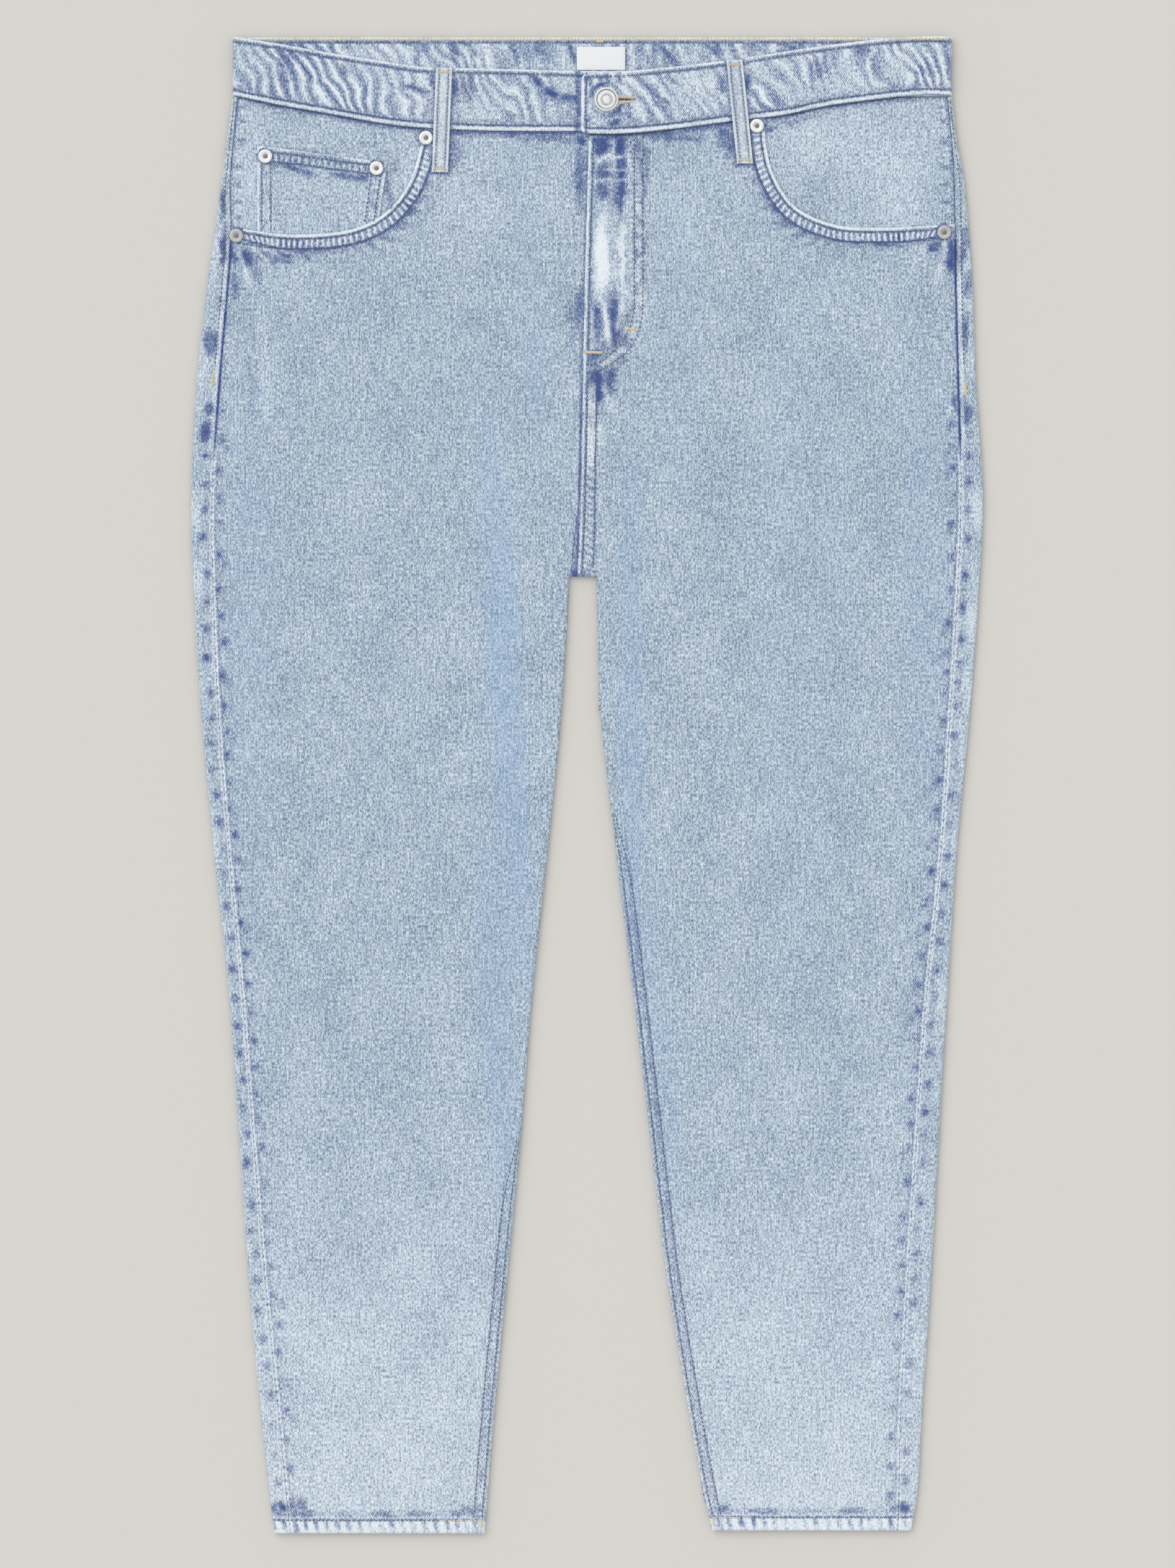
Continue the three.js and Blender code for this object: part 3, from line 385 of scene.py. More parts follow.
def curve_at(table, along, column, value):
    """Smooth value of one column of a table, as the solids have it."""
    xs = np.array(table[along], float)
    ys = np.array(table[column], float)
    if xs[0] > xs[-1]:
        xs = xs[::-1]
        ys = ys[::-1]
    before = np.maximum(np.arange(len(xs)) - 1, 0)
    after = np.minimum(np.arange(len(xs)) + 1, len(xs) - 1)
    slopes = (ys[after] - ys[before]) / (xs[after] - xs[before])
    place = np.clip(value, xs[0], xs[-1])
    i = np.clip(np.searchsorted(xs, place, side="right") - 1, 0, len(xs) - 2)
    step = xs[i + 1] - xs[i]
    t = (place - xs[i]) / step
    rise = ys[i] * (1 + 2 * t) * (1 - t) ** 2 + ys[i + 1] * t * t * (3 - 2 * t)
    return rise + step * (slopes[i] * t * (1 - t) ** 2 - slopes[i + 1] * t * t * (1 - t))


def outline(side, column, y):
    return curve_at(OUTLINE[side_name(side)], "y", column, y)


def fold_x(side, y):
    return side * outline(side, "fold", y)


def inner_x(side, y):
    return side * outline(side, "inner", y)


def outseam_x(side, y):
    return side * (outline(side, "fold", y) - outline(side, "inset", y))


def fly_x(y):
    return curve_at(FLY_LINE, "y", "x", y)


def centre_back_x(y):
    return lerp(CROTCH_X, CENTRE_BACK_X, (y - CROTCH_Y) / (BAND_BACK["low"] - CROTCH_Y))


def waist_seam(side, x):
    return curve_at(BAND_EDGE[side_name(side)], "x", "low", side * np.asarray(x, float))


def hem_y(side):
    return OUTLINE[side_name(side)]["y"][0]


def notch(x, y):
    """Distance from the gap between the legs and heading towards it."""
    ends = np.linspace(-540, CROTCH_Y, 41)
    edges = [(inner_x(-1, CROTCH_Y), CROTCH_Y, inner_x(1, CROTCH_Y), CROTCH_Y, 0.0, -1.0)]
    for side in (-1, 1):
        xs = inner_x(side, ends)
        size = np.hypot(np.diff(xs), np.diff(ends))
        edges += zip(xs, ends, xs[1:], ends[1:], -side * np.diff(ends) / size, side * np.diff(xs) / size)
    best = np.full(np.shape(x), 1e9)
    head_x = np.zeros(np.shape(x))
    head_y = np.zeros(np.shape(x))
    for ax, ay, bx, by, normal_x, normal_y in edges:
        along = ((x - ax) * (bx - ax) + (y - ay) * (by - ay)) / ((bx - ax) ** 2 + (by - ay) ** 2)
        t = np.clip(along, 0, 1)
        dx = lerp(ax, bx, t) - x
        dy = lerp(ay, by, t) - y
        reach = np.hypot(dx, dy)
        near = reach < best
        best = np.where(near, reach, best)
        far = reach > 0.05
        safe = np.maximum(reach, 0.05)
        head_x = np.where(near, np.where(far, dx / safe, normal_x), head_x)
        head_y = np.where(near, np.where(far, dy / safe, normal_y), head_y)
    return best, head_x, head_y


def rolled(x, y, level, face):
    """Outer point and outward direction of cloth that rolls down at the inner leg."""
    middle = LAID / 2
    reach, head_x, head_y = notch(x, y)
    turn = np.arccos(1 - np.minimum(reach / middle, 1))
    edge = middle + face * GAP / 2
    z = edge + (level - edge) * np.sin(turn)
    outward = together(head_x * np.cos(turn), head_y * np.cos(turn), face * np.sin(turn))
    return together(x, y, z), outward


def pocket_curve(side):
    """Function from a share of the pocket edge's length to its place and heading."""
    table = POCKET_EDGE[side_name(side)]
    knots = np.array([table["x"], table["y"]], float).T * (side, 1)
    knots = np.vstack([2 * knots[0] - knots[1], knots, 2 * knots[-1] - knots[-2]])
    places = []
    for k in range(1, len(knots) - 2):
        a, b, c, d = knots[k - 1:k + 3]
        first, step, last = (math.hypot(*(q - p)) ** 0.5 for p, q in ((a, b), (b, c), (c, d)))
        t1 = ((b - a) / first - (c - a) / (first + step) + (c - b) / step) * step
        t2 = ((c - b) / step - (d - b) / (step + last) + (d - c) / last) * step
        for t in np.linspace(0, 1, 60, endpoint=False):
            square = 3 * (c - b) - 2 * t1 - t2
            cube = 2 * (b - c) + t1 + t2
            places.append(b + t1 * t + square * t * t + cube * t ** 3)
    places.append(knots[-2])
    places = np.array(places)
    reach = run_along(places)
    share = reach / reach[-1]

    def at(value):
        x = np.interp(value, share, places[:, 0])
        y = np.interp(value, share, places[:, 1])
        ahead = np.clip(np.asarray(value) + 0.004, 0, 1)
        behind = np.clip(np.asarray(value) - 0.004, 0, 1)
        tx = np.interp(ahead, share, places[:, 0]) - np.interp(behind, share, places[:, 0])
        ty = np.interp(ahead, share, places[:, 1]) - np.interp(behind, share, places[:, 1])
        size = np.hypot(tx, ty)
        return x, y, tx / size, ty / size

    return at, reach[-1]


def past_pocket(side, share, distance):
    """A place a given distance past the pocket edge, into the front."""
    at, _ = pocket_curve(side)
    x, y, tx, ty = at(share)
    return x - side * ty * distance, y + side * tx * distance


# Marks of wear and painted shade: where the cloth is blue, pale or tinted, where shade and shadow are
# painted into it, and its small folds

def patches(x, y, table):
    """Largest strength of a table's soft uneven patches at each place."""
    warp_x = 1.6 * noise(x, y, 4, 11) + 1.2 * noise(x, y, 9, 12)
    warp_y = 2.4 * noise(x, y, 5, 13) + 2.0 * noise(x, y, 12, 14)
    strength = np.zeros(np.shape(x))
    for px, py, wide, high, turn, force in table:
        c = math.cos(math.radians(turn))
        s = math.sin(math.radians(turn))
        share = np.minimum(1, (wide + high) / 16)
        dx = x - px + warp_x * share
        dy = y - py + warp_y * share
        reach = np.hypot((c * dx + s * dy) / wide, (c * dy - s * dx) / high)
        strength = np.maximum(strength, force * smooth(reach, 1.25, 0.35))
    return strength


def creases(x, y, table):
    """Height, pale and blue shares of a table's listed creases."""
    height = np.zeros(np.shape(x))
    pale = np.zeros(np.shape(x))
    blue = np.zeros(np.shape(x))
    bend = 0.9 * noise(x, y, 8, 21)
    for ax, ay, bx, by, wide, rise, light, dark in table:
        size = math.hypot(bx - ax, by - ay)
        along = ((x - ax) * (bx - ax) + (y - ay) * (by - ay)) / size
        across = ((x - ax) * (by - ay) - (y - ay) * (bx - ax)) / size
        end = smooth(along, -wide, size * 0.3) * smooth(along, size + wide, size * 0.7)
        body = bell(across + bend * wide * 0.35, 0, wide) * end
        height = height + rise * body
        pale = np.maximum(pale, light * body)
        blue = np.maximum(blue, dark * body)
    return height, pale, blue


def seam_spots(side, y, across):
    """Blue spots and small puckers on both sides of the outseam, below the bar tack."""
    phase = y / 20 + 0.5 * wobble(y, 40, 31 + side)
    below = smooth(y, 285, 250)
    blue = np.zeros(np.shape(y + across))
    for shift, middle, seed in ((0, 4.8, 33), (0.5, -5.2, 36), (0.25, 8.5, 39)):
        number = np.round(phase + shift)
        force = np.clip(0.74 + 0.6 * wobble(number * 37, 10, seed + side), 0.05, 1.0)
        if shift == 0.25:
            force = force - 0.6
        aside = middle + 2.6 * wobble(number * 53, 10, seed + 10 + side)
        tall = 0.13 + 0.05 * wobble(number * 71, 10, seed + 20 + side)
        spot = bell(phase + shift, number, tall) * bell(across, aside, 2.7)
        blue = np.maximum(blue, below * force * spot)
    ripple = below * np.cos(2 * math.pi * phase) * (bell(across, 5, 6)
                                                   - bell(across, -6, 6))
    return blue, ripple


class WearAndShade:
    """Marks of one cloth surface, gathered piece by piece: wear, unworn indigo, tint, small folds, and
    painted shade and shadow.
    """

    def __init__(self, x, y):
        self.x = x
        self.y = y
        self.blue = np.zeros(np.shape(x))
        self.pale = np.zeros(np.shape(x))
        self.tint = np.zeros(np.shape(x))
        self.height = np.zeros(np.shape(x))

    def lift(self, amount):
        self.height = self.height + amount

    def darken(self, amount):
        self.blue = np.maximum(self.blue, amount)

    def lighten(self, amount):
        self.pale = np.maximum(self.pale, amount)

    def indigo_and_shade(self, amount):
        """Deep blue that takes the place of paler wear: unworn indigo, and painted shade and shadow."""
        self.pale = self.pale * (1 - np.clip(amount, 0, 1))
        self.darken(amount)

    def crease(self, table, where=1):
        height, pale, blue = creases(self.x, self.y, table)
        self.lift(height * where)
        self.indigo_and_shade(blue * where)
        self.blue = self.blue * (1 - 0.8 * pale * where)
        self.lighten(pale * where)

    def rivet_shadows(self, places):
        """Painted shadow round the rim of each rivet."""
        for px, py in places:
            reach = np.hypot(self.x - px, self.y - py)
            self.indigo_and_shade(bell(reach - RIVET["radius"], 0.5, 0.8) * 0.8)

    def loop_shadows(self, strength):
        """Painted shadow on the cloth along the edges of the front belt loops."""
        for _, top_x, top_y, low_x, low_y in BELT_LOOPS:
            t = (top_y - self.y) / (top_y - low_y)
            away = np.abs(self.x - lerp(top_x, low_x, t)) - LOOP["width"] / 2
            past = np.maximum(self.y - top_y, low_y - self.y)
            away = np.maximum(away, past)
            self.indigo_and_shade(bell(away, 0.6, 1.3) * strength)

    def marks(self):
        broken = 0.9 + 0.25 * noise(self.x, self.y, 3.2, 41, 1.6)
        blue = np.clip(self.blue * broken * (1 - 0.8 * self.pale), 0, 1)
        return {"blue": blue, "pale": np.clip(self.pale, 0, 1), "tint": np.clip(self.tint, 0, 1)}


def sizes():
    return bpy.context.scene.jeans_sizes


# Meshes

def shell_faces(high, wide, rows, cols):
    """Faces of a closed cloth wall: a fine outer grid, a coarse inner one and the rims."""
    grid = np.arange(high * wide).reshape(high, wide)
    outer = np.stack([grid[:-1, :-1], grid[:-1, 1:], grid[1:, 1:], grid[1:, :-1]], -1).reshape(-1, 4)
    under = high * wide + np.arange(len(rows) * len(cols)).reshape(len(rows), len(cols))
    inner = np.stack([under[:-1, :-1], under[1:, :-1], under[1:, 1:], under[:-1, 1:]], -1).reshape(-1, 4)
    faces = outer.tolist() + inner.tolist()
    borders = (
        (grid[0, :], under[0, :], cols),
        (grid[:, -1], under[:, -1], rows),
        (grid[-1, ::-1], under[-1, ::-1], wide - 1 - cols[::-1]),
        (grid[::-1, 0], under[::-1, 0], high - 1 - rows[::-1]),
    )
    for fine, coarse, stops in borders:
        for k in range(len(stops) - 1):
            chain = fine[stops[k]:stops[k + 1] + 1].tolist()
            a = int(coarse[k])
            b = int(coarse[k + 1])
            for m in range(len(chain) - 2):
                faces.append([chain[m], a, chain[m + 1]])
            faces.append([chain[-2], a, b, chain[-1]])
    return faces


def signed_volume(points, faces):
    triangles = np.array([(f[0], f[k], f[k + 1]) for f in faces for k in range(1, len(f) - 1)])
    a, b, c = points[triangles.T]
    return np.einsum("ij,ij->i", a, np.cross(b, c)).sum()


def make_piece(name, points, faces, material, uv=None, marks=None, replaces=()):
    """One finished piece of the garment from points in millimetres."""
    if signed_volume(points, faces) < 0:
        faces = [f[::-1] for f in faces]
    mesh = bpy.data.meshes.new(name)
    mesh.from_pydata((points * MM).tolist(), [], faces)
    mesh.update()
    mesh.polygons.foreach_set("use_smooth", np.ones(len(mesh.polygons), bool))
    mesh.set_sharp_from_angle(angle=math.radians(62))
    corners = np.empty(len(mesh.loops), int)
    mesh.loops.foreach_get("vertex_index", corners)
    if uv is not None:
        layer = mesh.uv_layers.new(name="cloth")
        layer.data.foreach_set("uv", (uv[corners] * MM).ravel())
    for key, values in (marks or {}).items():
        attribute = mesh.attributes.new(key, "FLOAT", "POINT")
        attribute.data.foreach_set("value", values)
    piece = bpy.data.objects.new(name, mesh)
    bpy.context.scene.collection.objects.link(piece)
    finish_piece(piece, material, replaces)
    return piece


def finish_piece(piece, material, replaces=()):
    piece.data.materials.clear()
    piece.data.materials.append(material)
    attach(piece, "root")
    if replaces:
        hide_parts(*replaces)


def cloth_wall(name, outer, outward, thick, wear, uv, material, node, keep=()):
    """A cloth piece: rows and columns of outer points, raised by its wear, over a plain inside.

    The inside has fewer rows; keep names rows it must have because the border turns there.
    """
    high, wide = outer.shape[:2]
    rows = np.unique(np.concatenate([np.arange(0, high - 1, 9), [high - 1], np.array(keep, int)]))
    cols = np.unique(np.append(np.arange(0, wide - 1, 5), wide - 1))
    thick = np.broadcast_to(np.asarray(thick, float), (high, wide))
    inner = outer - outward * thick[..., None]
    raised = outer + outward * wear.height[..., None]
    inner = inner[rows][:, cols]
    points = np.concatenate([raised.reshape(-1, 3), inner.reshape(-1, 3)])
    flat = np.concatenate([uv.reshape(-1, 2), uv[rows][:, cols].reshape(-1, 2)])
    spare = len(rows) * len(cols)
    marks = {key: np.concatenate([value.ravel(), np.zeros(spare)]) for key, value in wear.marks().items()}
    faces = shell_faces(high, wide, rows, cols)
    return make_piece(name, points, faces, material, flat, marks, (node,))


def spread(ends, steps):
    """Places that pass through the given ends with a step no larger than the one for each stretch."""
    places = [ends[0]]
    for start, stop, step in zip(ends[:-1], ends[1:], steps):
        count = max(1, math.ceil(abs(stop - start) / step))
        places.extend(start + (stop - start) * k / count for k in range(1, count + 1))
    return np.array(places)


def leg_heights(side):
    hem = hem_y(side)
    start = hem + HEM_DEPTH + 1
    rest = [lerp(start, CROTCH_Y - 3, k / 13) for k in range(13)]
    return [hem, hem + HEM_DEPTH] + rest + [CROTCH_Y - 8]


NEAR = spread((0, 1, 10, 14, 24), (0.25, 0.9, 1.1, 1.7))
INNER = np.concatenate([spread((28, 12, 4, 2.5), (1.9, 1.2, 0.8)),
                        LAID / 2 * (1 - np.cos(np.linspace(math.pi / 2, 0, 8)))[1:]])


def inner_places(side, end_x, end_y, fan, steps):
    """Places of the columns next to the inner edge, rows down, columns across."""
    x = end_x[:, None] + side * steps
    y = end_y[:, None] + np.minimum(steps, FAN_REACH) * fan[:, None]
    return x, y


def refine(counts):
    """Fine row places between coarse rows, with a number of rows for each stretch."""
    places = [np.linspace(k, k + 1, n, endpoint=False) for k, n in enumerate(counts)]
    return np.append(np.concatenate(places), float(len(counts)))


def front_grid(side):
    """Rows and columns of a front's places, with what each row and column is."""
    legs = leg_heights(side)
    first_pocket = len(legs) + 2 + len(FRONT_ROWS["outer"])
    pockets = len(POCKET_ROWS["share"])
    outer_y = legs + [CROTCH_Y - 3, CROTCH_Y] + list(FRONT_ROWS["outer"]) + [0] * pockets
    lean = [0] * (len(legs) + 2) + list(FRONT_ROWS["lean"]) + list(POCKET_ROWS["lean"])
    centre = legs + [CROTCH_Y, CROTCH_Y] + list(FRONT_ROWS["centre"]) + list(POCKET_ROWS["centre"])
    fan = [0] * len(legs) + [CORNER_FAN, 1] + list(FRONT_ROWS["fan"]) + [0] * pockets
    at, size = pocket_curve(side)

    count = []
    for k in range(len(centre) - 1):
        if k + 1 < first_pocket:
            reach = max(outer_y[k + 1] - outer_y[k], centre[k + 1] - centre[k])
            step = 1.1 if k == 0 else 1.9
        elif k + 1 == first_pocket:
            reach = 14
            step = 1.1
        else:
            start, stop = POCKET_ROWS["share"][k - first_pocket:k + 2 - first_pocket]
            reach = (stop - start) * size
            step = 1.0
        count.append(max(2, math.ceil(reach / step)))
    s = refine(count)
    keys = np.arange(len(centre))
    on_pocket = s >= first_pocket
    share = np.interp(s, keys[first_pocket:], POCKET_ROWS["share"])
    px, py, tx, ty = at(share)
    last = first_pocket - 1
    leg_y = np.interp(s, keys[:last + 1], outer_y[:last + 1])
    t = np.clip(s - last, 0, 1)
    corner = at(0)
    start_x = lerp(outseam_x(side, leg_y) - side * SEAM_GAP / 2, corner[0], t)
    start_x = np.where(on_pocket, px, start_x)
    start_y = np.where(on_pocket, py, lerp(leg_y, corner[1], t))

    _, _, key_tx, key_ty = at(POCKET_ROWS["share"])
    across = np.array(POCKET_ROWS["across"])
    keys_dx = np.append([-side] * first_pocket, -side * np.where(across > 0, across, key_ty))
    keys_dy = -np.array(lean, float)
    keys_dy[first_pocket:] = np.where(keys_dy[first_pocket:] < 0, keys_dy[first_pocket:], side * key_tx)
    free = share >= POCKET_ROWS["share"][3]
    dx = np.where(on_pocket & free, -side * ty, np.interp(s, keys, keys_dx))
    dy = np.where(on_pocket & free, side * tx, np.interp(s, keys, keys_dy))

    end_y = np.interp(s, keys, centre)
    lap = (FLY_UNDERLAP + GAP / 2) * ramp(end_y, FLY["joined"], FLY["closed"]) if side < 0 else 0
    end_x = fly_x(end_y) + side * SEAM_GAP / 2 + lap
    crotch = len(legs)
    joint_x = CROTCH_X + side * SEAM_GAP / 2
    t = np.clip(s - crotch, 0, 1)
    end_x = np.where(s <= crotch + 1, lerp(inner_x(side, CROTCH_Y), joint_x, t), end_x)
    end_x = np.where(s <= crotch, inner_x(side, end_y), end_x)
    fan = np.interp(s, keys, fan)

    near_x = start_x[:, None] + np.outer(dx, NEAR)
    near_y = start_y[:, None] + np.outer(dy, NEAR)
    far_x, far_y = inner_places(side, end_x, end_y, fan, INNER)
    middle = 1 - (1 - np.linspace(0, 1, 50)[1:-1]) ** 1.25
    mid_x = lerp(near_x[:, -1:], far_x[:, :1], middle)
    mid_y = lerp(near_y[:, -1:], far_y[:, :1], middle)
    x = np.concatenate([near_x, mid_x, far_x], 1)
    y = np.concatenate([near_y, mid_y, far_y], 1)
    top = np.clip(s - (len(centre) - 2), 0, 1)
    y = y + top[:, None] * (waist_seam(side, x[-1]) - GAP - y[-1])
    edge = np.hypot(x - x[:, :1], y - y[:, :1])
    from_inner = np.hypot(x - x[:, -1:], y - y[:, -1:])
    run = run_along(together(start_x, start_y))
    corner_rows = [crotch - 1, crotch, crotch + 1, crotch + 2, first_pocket]
    return {
        "x": x, "y": y, "edge": edge, "inner": from_inner, "run": run[:, None] + 0 * x,
        "share": np.where(on_pocket, share, -1)[:, None], "end_y": end_y[:, None] + 0 * x,
        "outer_y": np.where(on_pocket, BAND_BACK["low"], start_y)[:, None] + 0 * x,
        "keep": np.flatnonzero(np.isin(s, corner_rows)),
    }


def pocket_band(wear, grid):
    """Turned and twice stitched pocket edge: pale rim, ladder of small blocks, blue beyond."""
    mouth = smooth(grid["share"], -0.02, 0.03) * np.ones_like(grid["x"])
    edge = grid["edge"]
    run = grid["run"]
    loose = 0.5 * wobble(run, 30, 51) + 0.28 * wobble(run, 9, 57)
    beat = np.cos(2 * math.pi * (run / 4 + loose + 0.03 * edge))
    ladder = smooth(edge, 2.8, 3.6) * smooth(edge, 10.2, 9.4)
    force = np.clip(0.75 + 0.55 * noise(run, edge, 11, 52), 0.1, 1.25)
    wear.lift(mouth * (ladder * beat * 0.2 + 0.25 * smooth(edge, 3, 1.6)))
    wear.darken(mouth * ladder * (0.18 + 0.62 * smooth(-beat, -0.2, 0.8)) * force)
    wear.lighten(mouth * ladder * smooth(beat, -0.1, 0.8) * 0.9)
    wear.lighten(mouth * smooth(edge, 2.4, 1.8) * (0.75 + 0.2 * noise(run, edge, 8, 58)))
    wear.indigo_and_shade(mouth * bell(edge, 3.2, 0.8))
    wear.indigo_and_shade(mouth * bell(edge, 10.4, 0.9) * 1.2)
    beyond = bell(edge, 12.2, 2.0) * (0.35 + 0.5 * wobble(run, 16, 53))
    wear.darken(mouth * beyond)
    ray = np.sin(2 * math.pi * ((run - 0.6 * edge) / 9 + 0.6 * wobble(run, 28, 54)))
    reach = 22 + 9 * wobble(run, 21, 55)
    force = np.clip(0.35 + 0.9 * wobble(run, 50, 56), 0, 1)
    fade = mouth * smooth(edge, 10.5, 12) * smooth(edge, reach, 12) * force
    wear.lift(fade * ray * 0.3)
    wear.darken(fade * smooth(ray, -0.1, 0.8) * 0.8)
    wear.lighten(fade * smooth(-ray, 0.1, 0.9) * 0.8)


def outseam_wear(wear, side, across, y):
    """Groove with unworn indigo and painted shadow in it, dotted pale line, spots and puckers along the
    outseam.
    """
    blue, ripple = seam_spots(side, y, across)
    wear.darken(blue)
    wear.lift(sizes().pucker / MM * ripple * 0.6)
    below = smooth(y, 250, 225)
    above = smooth(y, 395, 380) * smooth(y, 225, 250)
    dots = smooth(np.cos(2 * math.pi * y / 3.1), 0.0, 0.8)
    wear.lighten(below * smooth(np.abs(across - 0.3), 2.0, 0.9) * 0.75)
    wear.indigo_and_shade(below * bell(across, 0.4, 0.45) * dots * 0.8)
    wear.darken(below * bell(across, 2.8, 0.7) * 0.35)
    wear.lighten(above * smooth(np.abs(across + 2.1), 1.9, 1.3) * 0.6)
    wear.lighten(above * bell(across, 1.9, 0.7) * 0.4)
    # Dark line and soft shade in the groove above the bar tack: unworn indigo and painted shadow.
    wear.indigo_and_shade(above * bell(across, 0.3, 0.8) * 1.2)
    wear.darken(above * bell(across, 0.6, 2.2) * 0.4)
    wear.darken(above * bell(across, 2, 3) * smooth(wobble(y, 30, 34), 0, 0.8) * 0.6)


def hem_wear(wear, rise, run):
    """Roped turned hem: slanted puckers, pale edge, blue just above the stitching."""
    slant = run / 7.5 + rise * 0.03 + 0.35 * wobble(run, 18, 61)
    rope = np.sin(2 * math.pi * slant)
    depth = smooth(rise, 10.2, 9.4)
    wear.lift(depth * rope * 0.28 * smooth(rise, 0, 3))
    wear.lighten(depth * (0.5 + 0.4 * smooth(rope, -0.4, 0.6)))
    mark = smooth(-rope, 0.2, 0.9) * smooth(rise, 1.5, 5) * depth
    wear.indigo_and_shade(mark * np.clip(0.3 + 0.5 * wobble(run, 11, 63), 0.05, 0.8))
    wear.indigo_and_shade(bell(rise, 9.6, 0.7) * 0.75)
    wear.lighten(bell(rise, 11.4, 0.8) * 0.6)
    blobs = 0.25 + 0.75 * smooth(wobble(run, 8, 62), -0.1, 0.6)
    wear.indigo_and_shade(bell(rise, 13.6, 1.9) * blobs * 0.7)
    wear.lighten(smooth(rise, 1.6, 0.4) * 0.6)


def make_front(side, material):
    grid = front_grid(side)
    x = grid["x"]
    y = grid["y"]
    share = grid["share"]
    wear = WearAndShade(x, y)
    wear.lighten(patches(x, y, PALE_PATCHES))
    wear.indigo_and_shade(patches(x, y, BLUE_PATCHES))
    wear.tint = patches(x, y, TINT_PATCHES)
    wear.pale = wear.pale + 0.42 * smooth(y, -120, -520)
    wear.crease(CREASES)
    pocket_band(wear, grid)
    rise = y - hem_y(side)
    hem_wear(wear, rise, x)
    across = side * (outseam_x(side, y) - x)
    outseam_wear(wear, side, np.where(share >= 0, 60, across), y)
    felled_edges(wear, side, grid)
    # Painted shadows round the rivets and beside the front belt loops.
    wear.rivet_shadows(RIVET_PLACES)
    wear.loop_shadows(0.7)
    below_waist = waist_seam(side, x) - y
    # Unworn indigo and painted shadow below the waistband's lower edge.
    wear.darken(smooth(below_waist, 6, 1.5) * (0.55 + 0.4 * wobble(x, 12, 71)))
    wear.indigo_and_shade(bell(below_waist, 0.9, 1.0) * 0.95)
    swell = sizes().swell / MM
    calm = smooth(grid["edge"], 2, 20) * smooth(grid["inner"], 3, 20)
    wear.lift(calm * swell * (0.6 * noise(x, y, 75, 72, 1.8) + 0.3 * noise(x, y, 26, 73, 1.6)))
    wear.lift(0.09 * noise(x, y, 6, 74, 1.5) * smooth(grid["edge"], 0, 4))
    wear.lift(-0.5 * rim_drop(grid["edge"], 0.6) - 0.8 * rim_drop(rise, 0.9))

    facing = np.where(share >= 0, 1, ramp(grid["outer_y"], 352, 380)) * ramp(grid["edge"], 24, 12)
    coin = np.zeros_like(x)
    if side < 0:
        coin = ramp(share, 0, 0.09) * ramp(share, 0.78, 0.66) * ramp(grid["edge"], 12, 7)
    lap = 0
    if side > 0:
        lap = ramp(grid["end_y"], FLY["level"], FLY["joined"]) * ramp(grid["inner"], 28, 14)
    hem = smooth(rise, HEM_DEPTH + 0.8, HEM_DEPTH)
    level = LAID + HEM_RISE * hem + (LAYER + 0.05) * (facing + coin + lap)
    outer, outward = rolled(x, y, level, 1)
    thick = np.where(grid["inner"] < LAID / 2, CLOTH, CLOTH + (HEM_CLOTH - CLOTH) * (rise < HEM_DEPTH))
    roll = smooth(grid["inner"], 0, 3)
    wear.height = wear.height * np.where(y < CROTCH_Y, roll, 1)
    name = side_name(side)
    piece = cloth_wall(f"denim_front_{name}", outer, outward, thick, wear, together(x, y),
                       material, f"front_{name}", grid["keep"])


def centre_seam_row(y):
    """Distance of the second row of stitches from the centre front seam."""
    return 9.8 + 0.8 * smooth(y, 240, 155)


